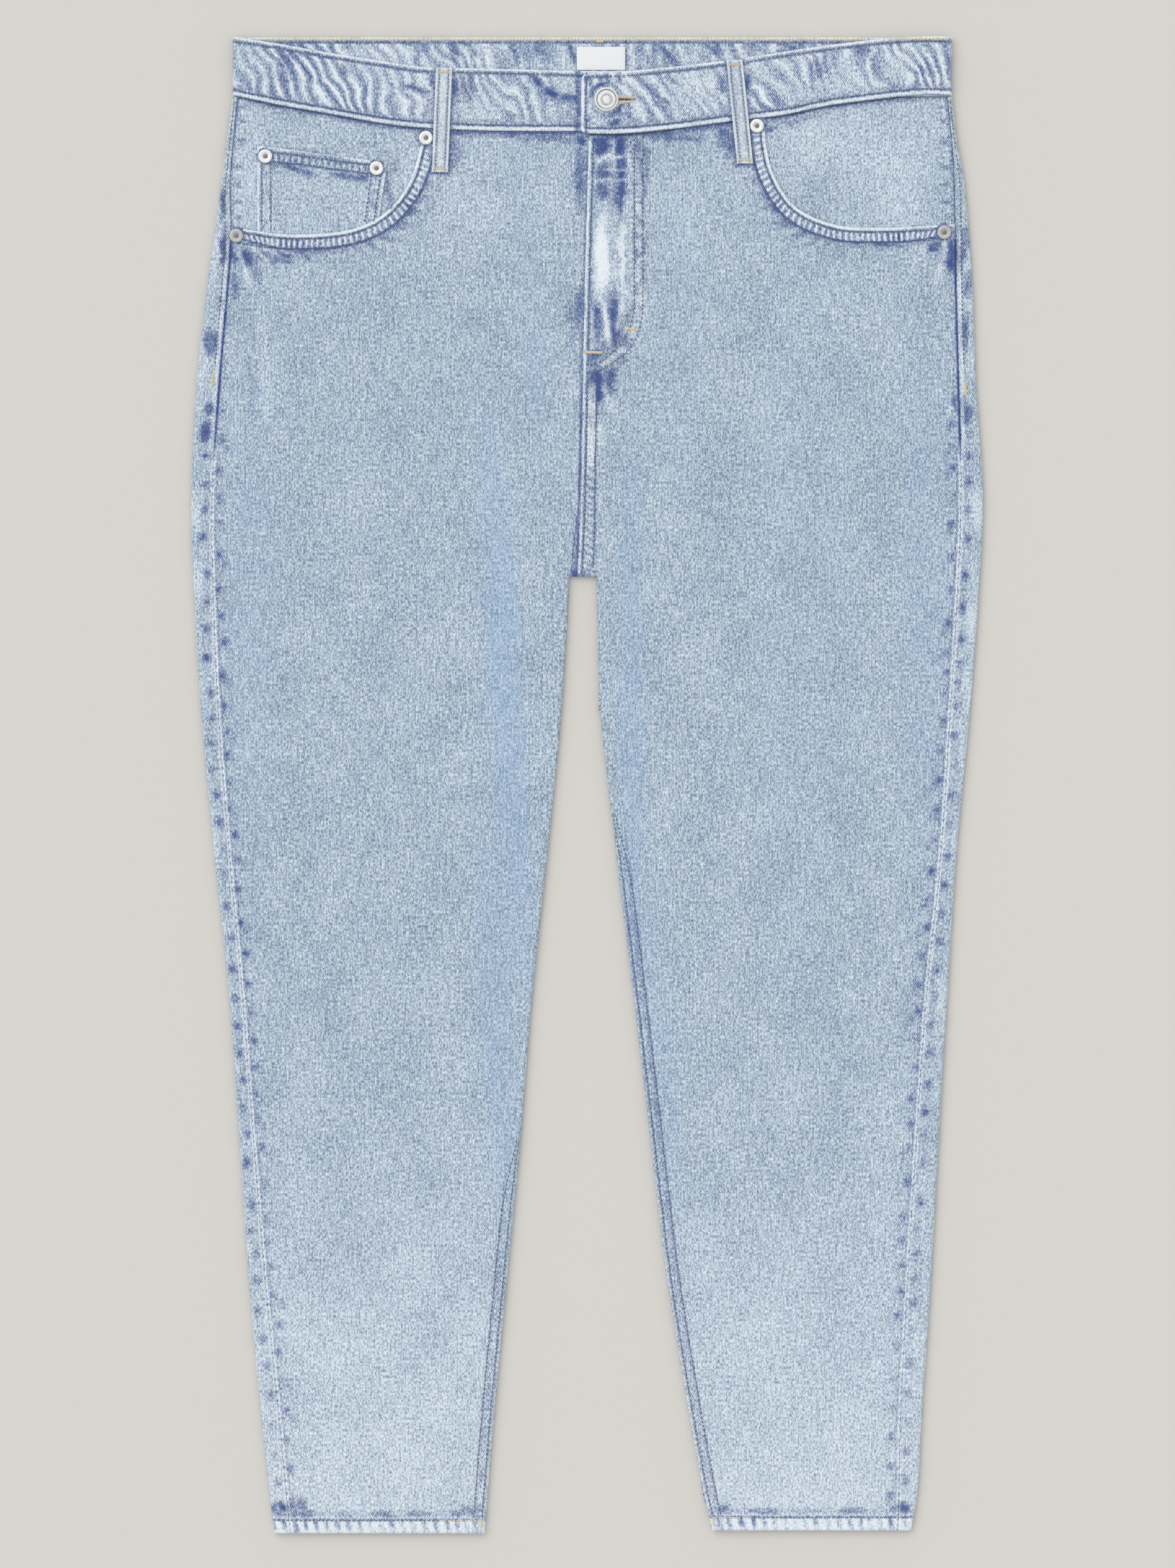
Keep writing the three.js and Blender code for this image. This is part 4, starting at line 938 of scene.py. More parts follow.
def felled_edges(wear, side, grid):
    """Double stitched seams: inner legs, the centre front below the fly, and the fly edge."""
    y = grid["y"]
    inner = grid["inner"]
    start = -230 if side < 0 else 10
    leg = smooth(y, start, start - 130)
    beat = 0.5 + 0.5 * wobble(y, 7, 81 + side)
    wear.darken(leg * (bell(inner, 2.4, 0.8) + bell(inner, 8.2, 0.9)) * 0.65)
    wear.darken(leg * bell(inner, 5.4, 2.2) * 0.45 * beat)
    wear.lighten(leg * bell(inner, 4, 1.1) * 0.35)
    wear.lift(-leg * 0.25 * bell(inner, 8.4, 0.8))
    beside = side * (grid["x"] - fly_x(y))
    above = smooth(y, CROTCH_Y - 1, CROTCH_Y + 1)
    if side > 0:
        centre = above * smooth(y, 292, 280)
        second = centre_seam_row(y)
        wear.lighten(centre * smooth(beside, 2.0, 1.3) * (0.6 + 0.3 * noise(y, beside, 6, 84)))
        wear.indigo_and_shade(centre * bell(beside, 2.9, 0.7) * 0.75)
        wear.indigo_and_shade(centre * bell(beside, 0.4, 0.5) * 0.4 * (0.6 + 0.6 * noise(y, beside, 9, 85)))
        twist = 0.5 + 0.5 * np.sin(2 * math.pi * (y / 5.5 + beside / 9 + 0.6 * noise(y, beside, 14, 83)))
        felled = centre * smooth(beside, 3.2, 4.2) * smooth(beside, second, second - 1)
        low = smooth(y, 240, 205) * (0.75 + 0.35 * noise(y, beside, 12, 86))
        wear.darken(felled * low * 0.75 * twist)
        wear.lighten(felled * (0.6 - 0.3 * low) * (1 - twist * low))
        wear.darken(centre * bell(beside, second, 0.8) * 0.65)
        wear.indigo_and_shade(above * smooth(y, CROTCH_Y + 3.5, CROTCH_Y + 1) * smooth(beside, 14, 12) * 0.6)
        fly = smooth(y, 280, 292) * smooth(y, 462, 455)
        wear.lighten(fly * smooth(inner, 2.6, 1.2) * 0.6)
        wear.darken(fly * bell(inner, 3.4, 0.8) * 0.75)
        strip = smooth(y, 322, 340) * smooth(y, 462, 455)
        for x_line in J_LINES:
            wear.darken(strip * bell(grid["x"], x_line, 0.9) * 0.7)
        speckle = smooth(noise(grid["x"], y, 2.6, 82, 1.3), -0.1, 0.6)
        between = smooth(np.abs(grid["x"] - sum(J_LINES) / 2), 5.5, 3.5)
        wear.darken(strip * between * speckle * 0.38)
        wear.lighten(strip * between * (1 - speckle) * 0.45)
    else:
        groove = above * smooth(y, 326, 318)
        wear.indigo_and_shade(groove * bell(beside, 0.9, 0.9) * (0.8 + 0.2 * wobble(y, 12, 87)))
        wedge = 4.6 * smooth(y, 218, 150)
        wear.indigo_and_shade(above * smooth(y, 222, 205) * bell(beside, wedge, 0.55) * 0.75)
        wear.darken(above * smooth(wedge, 0.6, 2) * smooth(beside, wedge, wedge - 1) * 0.22)
        wear.indigo_and_shade(above * smooth(y, CROTCH_Y + 7, CROTCH_Y + 3) * smooth(beside, 5.4, 4.4) * 0.9)
        wear.darken(smooth(y, 455, 440) * smooth(beside, 2.2, 0.6) * smooth(y, 290, 320) * 0.5)


def back_level(side, x, y):
    """Height of the back's outer face: over the belt loops and over the back pocket."""
    waist = LAYER * ramp(y, *BACK_RISE)
    aside = np.abs(side * x - BACK_POCKET["centre"]) - BACK_POCKET["width"] / 2
    above = np.maximum(y - BACK_POCKET["top"], BACK_POCKET["point"] - y)
    pocket = (LAYER + 0.1) * ramp(np.maximum(aside, above), 52, 12)
    return np.maximum(waist, pocket)


def make_back(name, side, heights, end_x, end_y, fan, material, node, keep=()):
    """A piece of the back: from the outseam on top, round the outer fold, to the inner edge."""
    hem = smooth(heights - hem_y(side), HEM_DEPTH + 0.8, HEM_DEPTH)
    top = LAID + HEM_RISE * hem
    fold = fold_x(side, heights)
    low = back_level(side, fold, heights)
    radius = (top - low) / 2
    seam = outseam_x(side, heights) + side * SEAM_GAP / 2
    arc_x = fold - side * radius
    strip = np.linspace(0, 1, 12)[:-1]
    strip_x = lerp(seam[:, None], arc_x[:, None], strip)
    angle = np.linspace(math.pi / 2, -math.pi / 2, 13)
    turn_x = fold[:, None] - side * radius[:, None] * (1 - np.cos(angle))
    turn_z = ((top + low) / 2)[:, None] + radius[:, None] * np.sin(angle)
    steps = INNER[INNER <= 14.1]
    far_x, far_y = inner_places(side, end_x, end_y, fan, steps)
    middle = np.linspace(0, 1, 38)[1:-1]
    mid_x = lerp(arc_x[:, None], far_x[:, :1], middle)
    mid_y = lerp(heights[:, None], far_y[:, :1], middle)
    under_x = np.concatenate([mid_x, far_x], 1)
    under_y = np.concatenate([mid_y, far_y], 1)
    under, under_out = rolled(under_x, under_y, back_level(side, under_x, under_y), -1)

    strip_points = together(strip_x, heights[:, None], top[:, None])
    strip_out = together(0 * strip_x, 0, 1)
    arc_points = together(turn_x, heights[:, None], turn_z)
    arc_out = together(side * np.cos(angle), 0 * turn_x, np.sin(angle))
    outer = np.concatenate([strip_points, arc_points, under], 1)
    outward = np.concatenate([strip_out, arc_out, under_out], 1)

    step = np.linalg.norm(np.diff(outer, axis=1), axis=2)
    reach = np.concatenate([np.zeros((len(heights), 1)), np.cumsum(step, 1)], 1)
    x = outer[..., 0]
    y = outer[..., 1]
    upper = outward[..., 2] > 0.2
    wear = WearAndShade(x, y)
    wear.pale = wear.pale + 0.42 * smooth(y, -120, -520)
    wear.indigo_and_shade(patches(x, y, BLUE_PATCHES) * upper)
    rise = y - hem_y(side)
    hem_wear(wear, rise, side * reach)
    wear.height = wear.height * smooth(outward[..., 2], -0.3, 0.6)
    shown = WearAndShade(x, y)
    outseam_wear(shown, side, -reach, y)
    wear.darken(shown.blue)
    wear.lighten(shown.pale)
    wear.lift(shown.height * smooth(outward[..., 2], -0.2, 0.8))
    wear.lighten(0.3 * bell(outward[..., 2], 0.3, 0.5))
    wear.lighten(upper * smooth(reach, 3, 10) * (0.22 + 0.3 * noise(x, y, 26, 92)))
    wear.lift(-0.5 * rim_drop(reach, 0.6) - 0.6 * rim_drop(rise, 0.9))
    beneath = smooth(outward[..., 2], -0.5, -0.9)
    yoke_line = np.abs(y - lerp(YOKE["side"], YOKE["centre"], ramp(side * x, 260, 0)))
    wear.darken(beneath * bell(yoke_line, 0, 3) * 0.5)
    wear.lighten(beneath * 0.25 * smooth(noise(x, y, 60, 91, 1.5), 0, 0.8))
    wear.height = np.minimum(wear.height, np.where(outward[..., 2] < 0, 0, 1))
    thick = (CLOTH + (HEM_CLOTH - CLOTH) * (rise < HEM_DEPTH)) * np.ones_like(x)
    thick = np.where(notch(x, y)[0] < LAID / 2, CLOTH, thick)
    uv = np.stack([-side * (fold[:, None] + 14 - reach), y], -1)
    piece = cloth_wall(name, outer, outward, thick, wear, uv, material, node, keep)


def make_back_panel(side, material):
    legs = leg_heights(side)
    share = [(k + 1) / 11 for k in range(11)]
    outer = legs + [CROTCH_Y - 3, CROTCH_Y, 148.5, 151]
    outer += [lerp(151, YOKE["side"] - GAP / 2, t) for t in share]
    inner = legs + [CROTCH_Y, CROTCH_Y, 147.5, 149.25]
    inner += [lerp(149.25, YOKE["centre"] - GAP / 2, t) for t in share]
    fan = [0] * len(legs) + [CORNER_FAN, 1, 0.95, 0.85] + [0] * len(share)
    count = [10] + [max(2, math.ceil(step / 2.2)) for step in np.diff(outer)[1:]]
    s = refine(count)
    keys = np.arange(len(outer))
    heights = np.interp(s, keys, outer)
    end_y = np.interp(s, keys, inner)
    end_x = centre_back_x(end_y) + side * GAP / 2
    corner = len(legs)
    t = np.clip(s - corner, 0, 1)
    end_x = np.where(s <= corner + 1, lerp(inner_x(side, CROTCH_Y), CROTCH_X + side * GAP / 2, t), end_x)
    end_x = np.where(s <= corner, inner_x(side, end_y), end_x)
    name = side_name(side)
    make_back(f"denim_back_{name}", side, heights, end_x, end_y, np.interp(s, keys, fan),
              material, f"back_{name}",
              np.flatnonzero(np.isin(s, [corner - 1, corner, corner + 1, corner + 2])))


def make_yoke(side, material):
    t = np.linspace(0, 1, 24)
    top = BAND_BACK["low"] - GAP
    heights = lerp(YOKE["side"] + GAP / 2, top, t)
    end_y = lerp(YOKE["centre"] + GAP / 2, top, t)
    end_x = centre_back_x(end_y) + side * GAP / 2
    name = side_name(side)
    make_back(f"denim_yoke_{name}", side, heights, end_x, end_y, np.zeros(len(t)),
              material, f"yoke_{name}")


def ribbon(name, centre, across, outward, width, thick, steps, material, node, marks,
           lengthwise=False):
    """A folded strip: rounded sections along a path, closed at both ends.

    centre holds a point for each section; across, outward and width hold one value or one for each.
    marks gets the places, a 1 for those on the inner face and how far across, and returns a Wear.
    lengthwise says that the warp runs along the strip.
    """
    stations = len(centre)
    across = np.broadcast_to(across, centre.shape)
    outward = np.broadcast_to(outward, centre.shape)
    half = thick / 2
    angle = np.linspace(0, math.pi, 7)
    share = np.array(steps)
    face = np.concatenate([share, np.ones(5), share[::-1], np.zeros(5)])
    depth = np.concatenate([np.zeros(len(share)), -half + half * np.cos(angle[1:-1]),
                            np.full(len(share), -thick), -half - half * np.cos(angle[1:-1])])
    bulge = np.concatenate([np.zeros(len(share)), half * np.sin(angle[1:-1]),
                            np.zeros(len(share)), -half * np.sin(angle[1:-1])])
    width = np.broadcast_to(np.asarray(width, float), (stations,))
    pinch = np.ones(stations)
    pinch[[0, -1]] = 0.35
    pinch[[1, -2]] = 0.85
    offset = half + (face * (width[:, None] - thick)) + bulge
    level = -half + (depth + half) * pinch[:, None]
    points = (centre[:, None, :] + across[:, None, :] * offset[..., None]
              + outward[:, None, :] * level[..., None])
    inside = (depth < -half) * 1.0
    wear = marks(points, inside + 0 * offset, offset)
    away = np.where(depth > -half, 1, -1) * np.where(bulge == 0, 1, 0.3)
    points = points + outward[:, None, :] * (wear.height * away)[..., None]
    ring = len(face)
    grid = np.arange(stations * ring).reshape(stations, ring)
    following = np.roll(grid, -1, axis=1)
    faces = np.stack([grid[:-1], following[:-1], following[1:], grid[1:]], -1).reshape(-1, 4).tolist()
    for row, turn in ((grid[0], 1), (grid[-1], -1)):
        count = len(share)
        left = row[:count].tolist()
        right = row[count + 5:2 * count + 5][::-1].tolist()
        for k in range(count - 1):
            quad = [left[k], right[k], right[k + 1], left[k + 1]]
            faces.append(quad[::turn])
        upper = row[count - 1:count + 6].tolist()
        lower = [int(row[0])] + row[2 * count + 4:][::-1].tolist()
        for loop_points, way in ((upper, -turn), (lower, turn)):
            faces.append(loop_points[::way])
    uv = [run_along(centre)[:, None] + 0 * offset, offset]
    uv = np.stack(uv[::-1] if lengthwise else uv, -1).reshape(-1, 2)
    values = {key: value.ravel() for key, value in wear.marks().items()}
    return make_piece(name, points.reshape(-1, 3), faces, material, uv, values, (node,))


def band_stations():
    """Sections along the waistband, from the covered end right round to the lapped one."""
    fine = 1.5
    radius = (BAND_TOP - LAYER) / 2
    middle = (BAND_TOP + LAYER) / 2
    right_x = radius - BAND_FOLD["right"]
    left_x = BAND_FOLD["left"] - radius
    under = spread((UNDER_END, UNDER_END - 2, right_x), (0.7, fine))
    back = spread((right_x, left_x), (2.0,))
    over = spread((left_x, 36, 12, 1, OVER_END + 1, OVER_END), (fine, 0.9, 1.2, 0.7, 0.3))
    turn = np.linspace(0, math.pi, 9)[1:-1]
    sine = np.sin(turn)
    cosine = np.cos(turn)
    corner = 1 - np.sqrt(np.clip(1 - ((1 - over) / (1 - OVER_END)) ** 2, 0, 1))
    corner = np.where(over < 1, corner, 0)

    def edges(share):
        return [lerp(BAND_SIDE[key], BAND_BACK[key], share) for key in ("low", "top")]

    def front(name, reach):
        return [curve_at(BAND_EDGE[name], "x", key, reach) for key in ("low", "top")]

    low, top = front("left", over)
    stretches = (
        (under, lerp(BAND_TOP, UNDER_TOP, smooth(under, -60, -12)), 0, 1, *front("right", -under)),
        (right_x - radius * sine, middle + radius * cosine, -sine, cosine, *edges(turn / math.pi)),
        (back, LAYER, 0, -1, BAND_BACK["low"], BAND_BACK["top"]),
        (left_x + radius * sine, middle - radius * cosine, sine, -cosine, *edges(1 - turn / math.pi)),
        (over, lerp(BAND_TOP, OVER_TOP, smooth(over, LAP_RAMP, LAP_FLAT)), 0, 1,
         low + 3 * corner, top - 8 * corner),
    )
    return [np.concatenate([np.broadcast_to(part, row[0].shape) for part, row in zip(column, stretches)])
            for column in zip(*stretches)]


def make_waistband(material):
    x, z, nx, nz, low, top = band_stations()
    centre = together(x, low, z)
    outward = together(nx, 0, nz)
    low_at_button = 458.6
    width_at_button = 43.6
    hole = (BUTTON["y"] - low_at_button - BAND_CLOTH / 2) / (width_at_button - BAND_CLOTH)
    plain = np.linspace(0, 1, 32)
    beside_hole = hole + np.array([-1, -0.6, -0.25, 0, 0.25, 0.6, 1]) / 41
    steps = np.sort(np.concatenate([plain[np.abs(plain - hole) > 0.03], beside_hole]))
    width = top - low

    def marks(points, inside, offset):
        px = points[..., 0]
        py = points[..., 1]
        from_top = width[:, None] - offset
        back = nz[:, None] < -0.5
        shown = np.where(inside > 0.5, back, ~back)
        wear = WearAndShade(px, py)
        slant = px / 10.5 + offset * 0.04 + 0.9 * noise(px, py, 27, 101) + 0.3 * noise(px, py, 9, 102)
        force = np.clip(0.6 + 0.7 * noise(px, py, 19, 103), 0, 1)
        for calm_x, reach, cut in ((68, 24, 0.6), (-68, 20, 0.35), (-23, 18, 0.8), (33, 16, 0.4)):
            force = force * (1 - cut * bell(px, calm_x, reach))
        wave = np.sin(2 * math.pi * slant)
        between = smooth(offset, 2.5, 7) * smooth(from_top, 1, 5)
        wear.lift(wave * sizes().pucker / MM * between * force)
        wear.lighten(0.28 + 0.25 * noise(px, py, 21, 107))
        wear.darken(between * smooth(-wave, 0.1, 0.95) * (0.15 + 0.6 * force))
        wear.indigo_and_shade(between * smooth(noise(px, py, 11, 106, 1.5), 0.3, 0.8) * 0.6 * smooth(force, 0, 0.4))
        wear.lighten(between * smooth(wave, 0.3, 0.95) * (0.35 + 0.6 * force))
        for line, reach in ((from_top, BAND_STITCH["top"]), (offset, BAND_STITCH["low"])):
            wear.lighten(smooth(line, reach - 1.0, reach - 1.8) * (0.7 + 0.2 * noise(px, py, 9, 109)))
            wear.indigo_and_shade(bell(line, reach, 0.85) * (1.0 + 0.25 * wobble(px, 6, 104)))
        wear.darken(bell(offset, 6.5, 1.6) * (0.3 + 0.4 * wobble(px, 11, 105)))
        front = (nz[:, None] > 0.5) & (inside < 0.5)
        over = np.arange(len(x)) > len(x) * 0.7
        wear.crease(BAND_CREASES, front)
        # Painted shadow beside the front belt loops.
        loops = WearAndShade(px, py)
        loops.loop_shadows(0.6)
        wear.indigo_and_shade(loops.blue * front)
        # Unworn indigo and painted shadow at the lower edge of the band's front.
        wear.indigo_and_shade(front * smooth(offset, 0.9, 0.2) * (0.55 + 0.3 * wobble(px, 14, 108)))
        wear.crease(LENS_CREASES, back & (inside > 0.5))
        from_button = np.hypot(px - BUTTON["x"], py - BUTTON["y"])
        turn = np.arctan2(py - BUTTON["y"], px - BUTTON["x"])
        ring = bell(from_button, 11.3, 1.7) * (0.6 + 0.4 * np.cos(2 * (turn - 2.2)))
        wear.indigo_and_shade(ring * front * over[:, None])
        from_end = np.where(over[:, None], px - OVER_END, 100)
        wear.lighten(smooth(from_end, 2.6, 1.6) * 0.9)
        wear.indigo_and_shade(bell(from_end, 3.6, 0.8) * 0.8)
        # Painted shadow cast by the lapped end on the band beneath it.
        wear.indigo_and_shade(front * bell(px, -6.5, 2.2) * ~over[:, None] * 0.75)
        slot_x = smooth(px, 20, 21) * smooth(px, BUTTONHOLE_END, BUTTONHOLE_END - 0.8)
        slot_y = smooth(np.abs(py - BUTTON["y"]), 0.75, 0.35)
        slot = slot_x * slot_y * front * over[:, None]
        wear.height = np.where(slot > 0, -1.3 * slot, wear.height)
        # The slit is painted deep blue as the shade inside it.
        wear.blue = np.where(slot > 0.3, 1, wear.blue)
        wear.height = wear.height * np.where(shown, 1, 0.4)
        wear.height = np.where(back & (inside < 0.5), 0, wear.height)
        return wear

    piece = ribbon("denim_waistband", centre, (0, 1, 0), outward, width, BAND_CLOTH, steps, material,
                   "waistband", marks)


def make_front_loop(name, top_x, top_y, low_x, low_y, material):
    seam = float(waist_seam(math.copysign(1, top_x), (top_x + low_x) / 2))
    y = np.linspace(top_y, low_y, 72)
    over = BAND_TOP + GAP + LOOP["thick"]
    low = LAID + LAYER + 0.4 + LOOP["thick"]
    z = lerp(over, low, smooth(y, seam, seam - 10))
    t = (top_y - y) / (top_y - low_y)
    z = z + 0.5 * np.sin(math.pi * np.clip((y - seam) / (top_y - seam), 0, 1)) ** 2
    centre = together(lerp(top_x, low_x, t) - LOOP["width"] / 2, y, z)
    outward = together(0, -np.gradient(z, y), 1)
    outward /= np.linalg.norm(outward, axis=1)[:, None]
    loop_strip(name, centre, (1, 0, 0), outward, material)


def make_back_loop(name, x, material):
    y = np.linspace(BAND_BACK["top"], BACK_LOOP_LOW, 40)
    centre = together(x - LOOP["width"] / 2, y, 0)
    loop_strip(name, centre, (1, 0, 0), (0, 0, -1), material, CLOTH)


def loop_strip(name, centre, across, outward, material, thick=LOOP["thick"]):
    def marks(points, inside, offset):
        x = points[..., 0]
        y = points[..., 1]
        wear = WearAndShade(x, y)
        edge = np.minimum(offset, LOOP["width"] - offset)
        wear.lighten(0.35 + 0.3 * noise(x, y, 9, 114))
        wear.lighten(smooth(edge, 1.9, 1.2) * 0.95)
        # Painted shade along the loop's outermost rounded sides.
        wear.indigo_and_shade(smooth(edge, 0.25, 0.05) * 0.5)
        wear.indigo_and_shade(bell(edge, 2.6, 0.75) * (0.7 + 0.3 * wobble(y, 4, 111)))
        wear.darken(smooth(x - centre[:, None, 0], 5.5, 2.5) * 0.35 * (1 + noise(x, y, 12, 113)))
        wear.height = 0.12 * noise(x, y, 3, 112) + 0.15 * smooth(edge, 0.5, 2) * smooth(edge, 4.5, 2.5)
        ends = np.minimum(np.abs(y - centre[0, 1]), np.abs(y - centre[-1, 1]))
        wear.lighten(smooth(ends, 2, 0.5) * 0.7)
        wear.darken(bell(ends, 3.5, 1.2) * 0.35)
        return wear

    piece = ribbon(f"{name}_strip", centre, across, outward, LOOP["width"], thick,
                   np.linspace(0, 1, 13), material, name, marks, True)


def quilt(name, left, right, low, top, z, thick, face, wear_of, material, node, step=1.8):
    """A flat patch between a left and right edge over v and a low and top edge over x."""
    v = np.linspace(0, 1, int((float(top(0.0)) - float(low(0.0))) / step) + 2)
    wide = abs(right(0.5) - left(0.5))
    u = np.linspace(0, 1, int(wide / step) + 2)
    x = lerp(left(v)[:, None], right(v)[:, None], u)
    y = lerp(low(u), top(u), v[:, None])
    wear = wear_of(x, y, u + 0 * x, v[:, None] + 0 * x)
    piece = cloth_wall(name, together(x, y, z), together(0 * x, 0, face), thick, wear, together(x, y),
                       material, node)


def make_facing(side, material):
    name = side_name(side)
    floor = POCKET_EDGE[name]["y"][0] - FACING_UNDER
    share = np.linspace(0, 1, 60)
    edge_x, edge_y = past_pocket(side, share, FACING_UNDER)
    keep = edge_y > floor
    order = np.argsort(edge_y[keep])
    inner_y = edge_y[keep][order]
    inner_xs = edge_x[keep][order]
    highest = BAND_BACK["low"] - GAP

    def left(v):
        return outseam_x(side, lerp(floor, highest, v)) - side * GAP

    def right(v):
        return np.interp(lerp(floor, inner_y[-1], v), inner_y, inner_xs)

    def low(u):
        return floor + 0 * u

    def top(u):
        x = lerp(left(1.0), right(1.0), u)
        return np.minimum(waist_seam(side, x) - 2 * GAP, highest)

    def wear_of(x, y, u, v):
        wear = WearAndShade(x, y)
        wear.lighten(np.clip(0.14 + 0.2 * noise(x, y, 24, 125, 1.5), 0, 0.4))
        wear.darken(patches(x, y, BLUE_PATCHES))
        wear.crease(POCKET_CREASES)
        wear.tint = patches(x, y, TINT_PATCHES)
        wear.height = 0.35 * noise(x, y, 40, 121) + 0.12 * noise(x, y, 9, 122)
        under_band = waist_seam(side, x) - y
        # Unworn indigo and painted shadow below the waistband's lower edge.
        wear.darken(smooth(under_band, 5, 1) * (0.4 + 0.4 * wobble(x, 10, 123)))
        wear.indigo_and_shade(bell(under_band, 0.9, 1.0) * 0.95)
        beside = side * (outseam_x(side, y) - x)
        wear.darken(bell(beside, 0, 1.6) * 0.7)
        wear.lighten(bell(beside, 4, 1.6) * 0.3)
        ripple = np.sin(2 * math.pi * (y / 13 + wobble(y, 25, 124) * 0.5))
        wear.lift(0.25 * ripple * bell(beside, 0, 7))
        wear.darken(bell(beside, 5, 3) * smooth(-ripple, 0.3, 1) * 0.6)
        wear.height = wear.height * smooth(beside, -1, 2) - 0.25
        # Painted shadows round the rivets.
        wear.rivet_shadows(RIVET_PLACES)
        return wear

    quilt(f"denim_facing_{name}", left, right, low, top, LAID, CLOTH - 0.25, 1, wear_of,
          material, f"pocket_facing_{name}")


def coin_top(x):
    """Height of the coin pocket's top edge."""
    return lerp(*COIN["top"], (x - COIN["left"]) / COIN["width"])


def make_coin_pocket(material):
    side = -1
    share = np.linspace(0.02, 0.9, 80)
    edge_x, edge_y = past_pocket(side, share, COIN_UNDER)

    def left(v):
        return COIN["left"] + 0 * v

    def right(v):
        return lerp(*COIN["right"], v)

    def low(u):
        x = lerp(COIN["left"], COIN["right"][0], u)
        return np.interp(x, edge_x, edge_y)

    def top(u):
        return lerp(*COIN["top"], u)

    def wear_of(x, y, u, v):
        wear = WearAndShade(x, y)
        wear.lighten(np.clip(0.1 + 0.2 * noise(x, y, 18, 135, 1.4), 0, 0.4))
        wear.crease(POCKET_CREASES)
        hem = coin_top(x) - y
        aside = np.minimum(x - COIN["left"], lerp(*COIN["right"], v) - x)
        inside = smooth(hem, 1.5, 2.5) * smooth(aside, 1.2, 2.2)
        rows = (COIN_STITCH[0], hem, 0.8), (COIN_STITCH[1], hem, 0.8), (3.0, aside, 0.4), (9.5, aside, 0.35)
        for distance, reach, force in rows:
            wear.indigo_and_shade(bell(reach, distance, 0.75) * force * inside)
        speckle = smooth(noise(x, y, 3, 133, 1.4), -0.1, 0.6)
        upright = smooth(aside, 3, 4) * smooth(aside, 9.5, 8.5) * smooth(hem, 9.8, 12)
        wear.darken(upright * speckle * 0.42)
        wear.lighten(upright * (1 - speckle) * 0.3)
        wear.lighten(bell(aside, 10.6, 0.6) * smooth(hem, 9.8, 12) * 0.5)
        beat = np.cos(2 * math.pi * (x / 4.2 + 0.8 * wobble(x, 10, 131)))
        band = smooth(hem, 3.8, 4.8) * smooth(hem, 9.4, 8.4)
        wear.darken(band * smooth(-beat, 0, 0.9) * 0.65)
        wear.lighten(band * smooth(beat, 0, 0.9) * 0.4)
        wear.lift(band * beat * 0.15)
        wear.lighten(smooth(np.minimum(hem, aside), 2.3, 1.5) * (0.6 + 0.2 * noise(x, y, 9, 134)))
        wear.lift(0.15 * noise(x, y, 14, 132))
        # Painted shadows round the rivets.
        wear.rivet_shadows(RIVET_PLACES)
        wear.lift(-0.55 * rim_drop(np.minimum(hem, aside), 0.8))
        return wear

    quilt("denim_coin_pocket", left, right, low, top, LAID + GAP + CLOTH, CLOTH, 1, wear_of,
          material, "coin_pocket", 1.1)


def make_back_pocket(side, material):
    pocket = BACK_POCKET
    half = pocket["width"] / 2
    centre = side * pocket["centre"]

    def reach(v):
        foot = (pocket["foot"] - pocket["point"]) / (pocket["top"] - pocket["point"])
        return half - pocket["taper"] * ramp(v, 1, foot)

    def low(u):
        return lerp(pocket["point"], pocket["foot"], np.abs(2 * u - 1))

    def wear_of(x, y, u, v):
        wear = WearAndShade(x, y)
        edge = np.minimum(np.abs(np.abs(x - centre) - reach(v)), np.minimum(pocket["top"] - y, y - low(u)))
        wear.lighten(smooth(edge, 2.5, 1) * 0.6)
        wear.darken(bell(edge, 3, 0.8) * 0.5 + bell(edge, 9, 0.9) * 0.5)
        wear.lighten(0.3 * smooth(noise(x, y, 35, 141), 0, 0.8))
        return wear

    name = side_name(side)
    quilt(f"denim_back_pocket_{name}", lambda v: centre - reach(v), lambda v: centre + reach(v),
          low, lambda u: pocket["top"] + 0 * u, 0.0, CLOTH, -1, wear_of, material,
          f"back_pocket_{name}", 3.0)


def make_label(material):
    """Plain woven tape on the inside of the back waistband, with nothing on it."""
    x = np.linspace(LABEL["left"], LABEL["right"], 30)
    centre = together(x, LABEL["low"], LABEL["height"] + LABEL["thick"] / 2)

    def marks(points, inside, offset):
        wear = WearAndShade(points[..., 0], points[..., 1])
        wear.height = 0.12 * noise(points[..., 0], points[..., 1], 7, 151)
        return wear

    piece = ribbon("woven_label", centre, (0, 1, 0), (0, 0, 1), LABEL["top"] - LABEL["low"],
                   LABEL["thick"], np.linspace(0, 1, 14), material, "inner_label", marks)


# Sewing

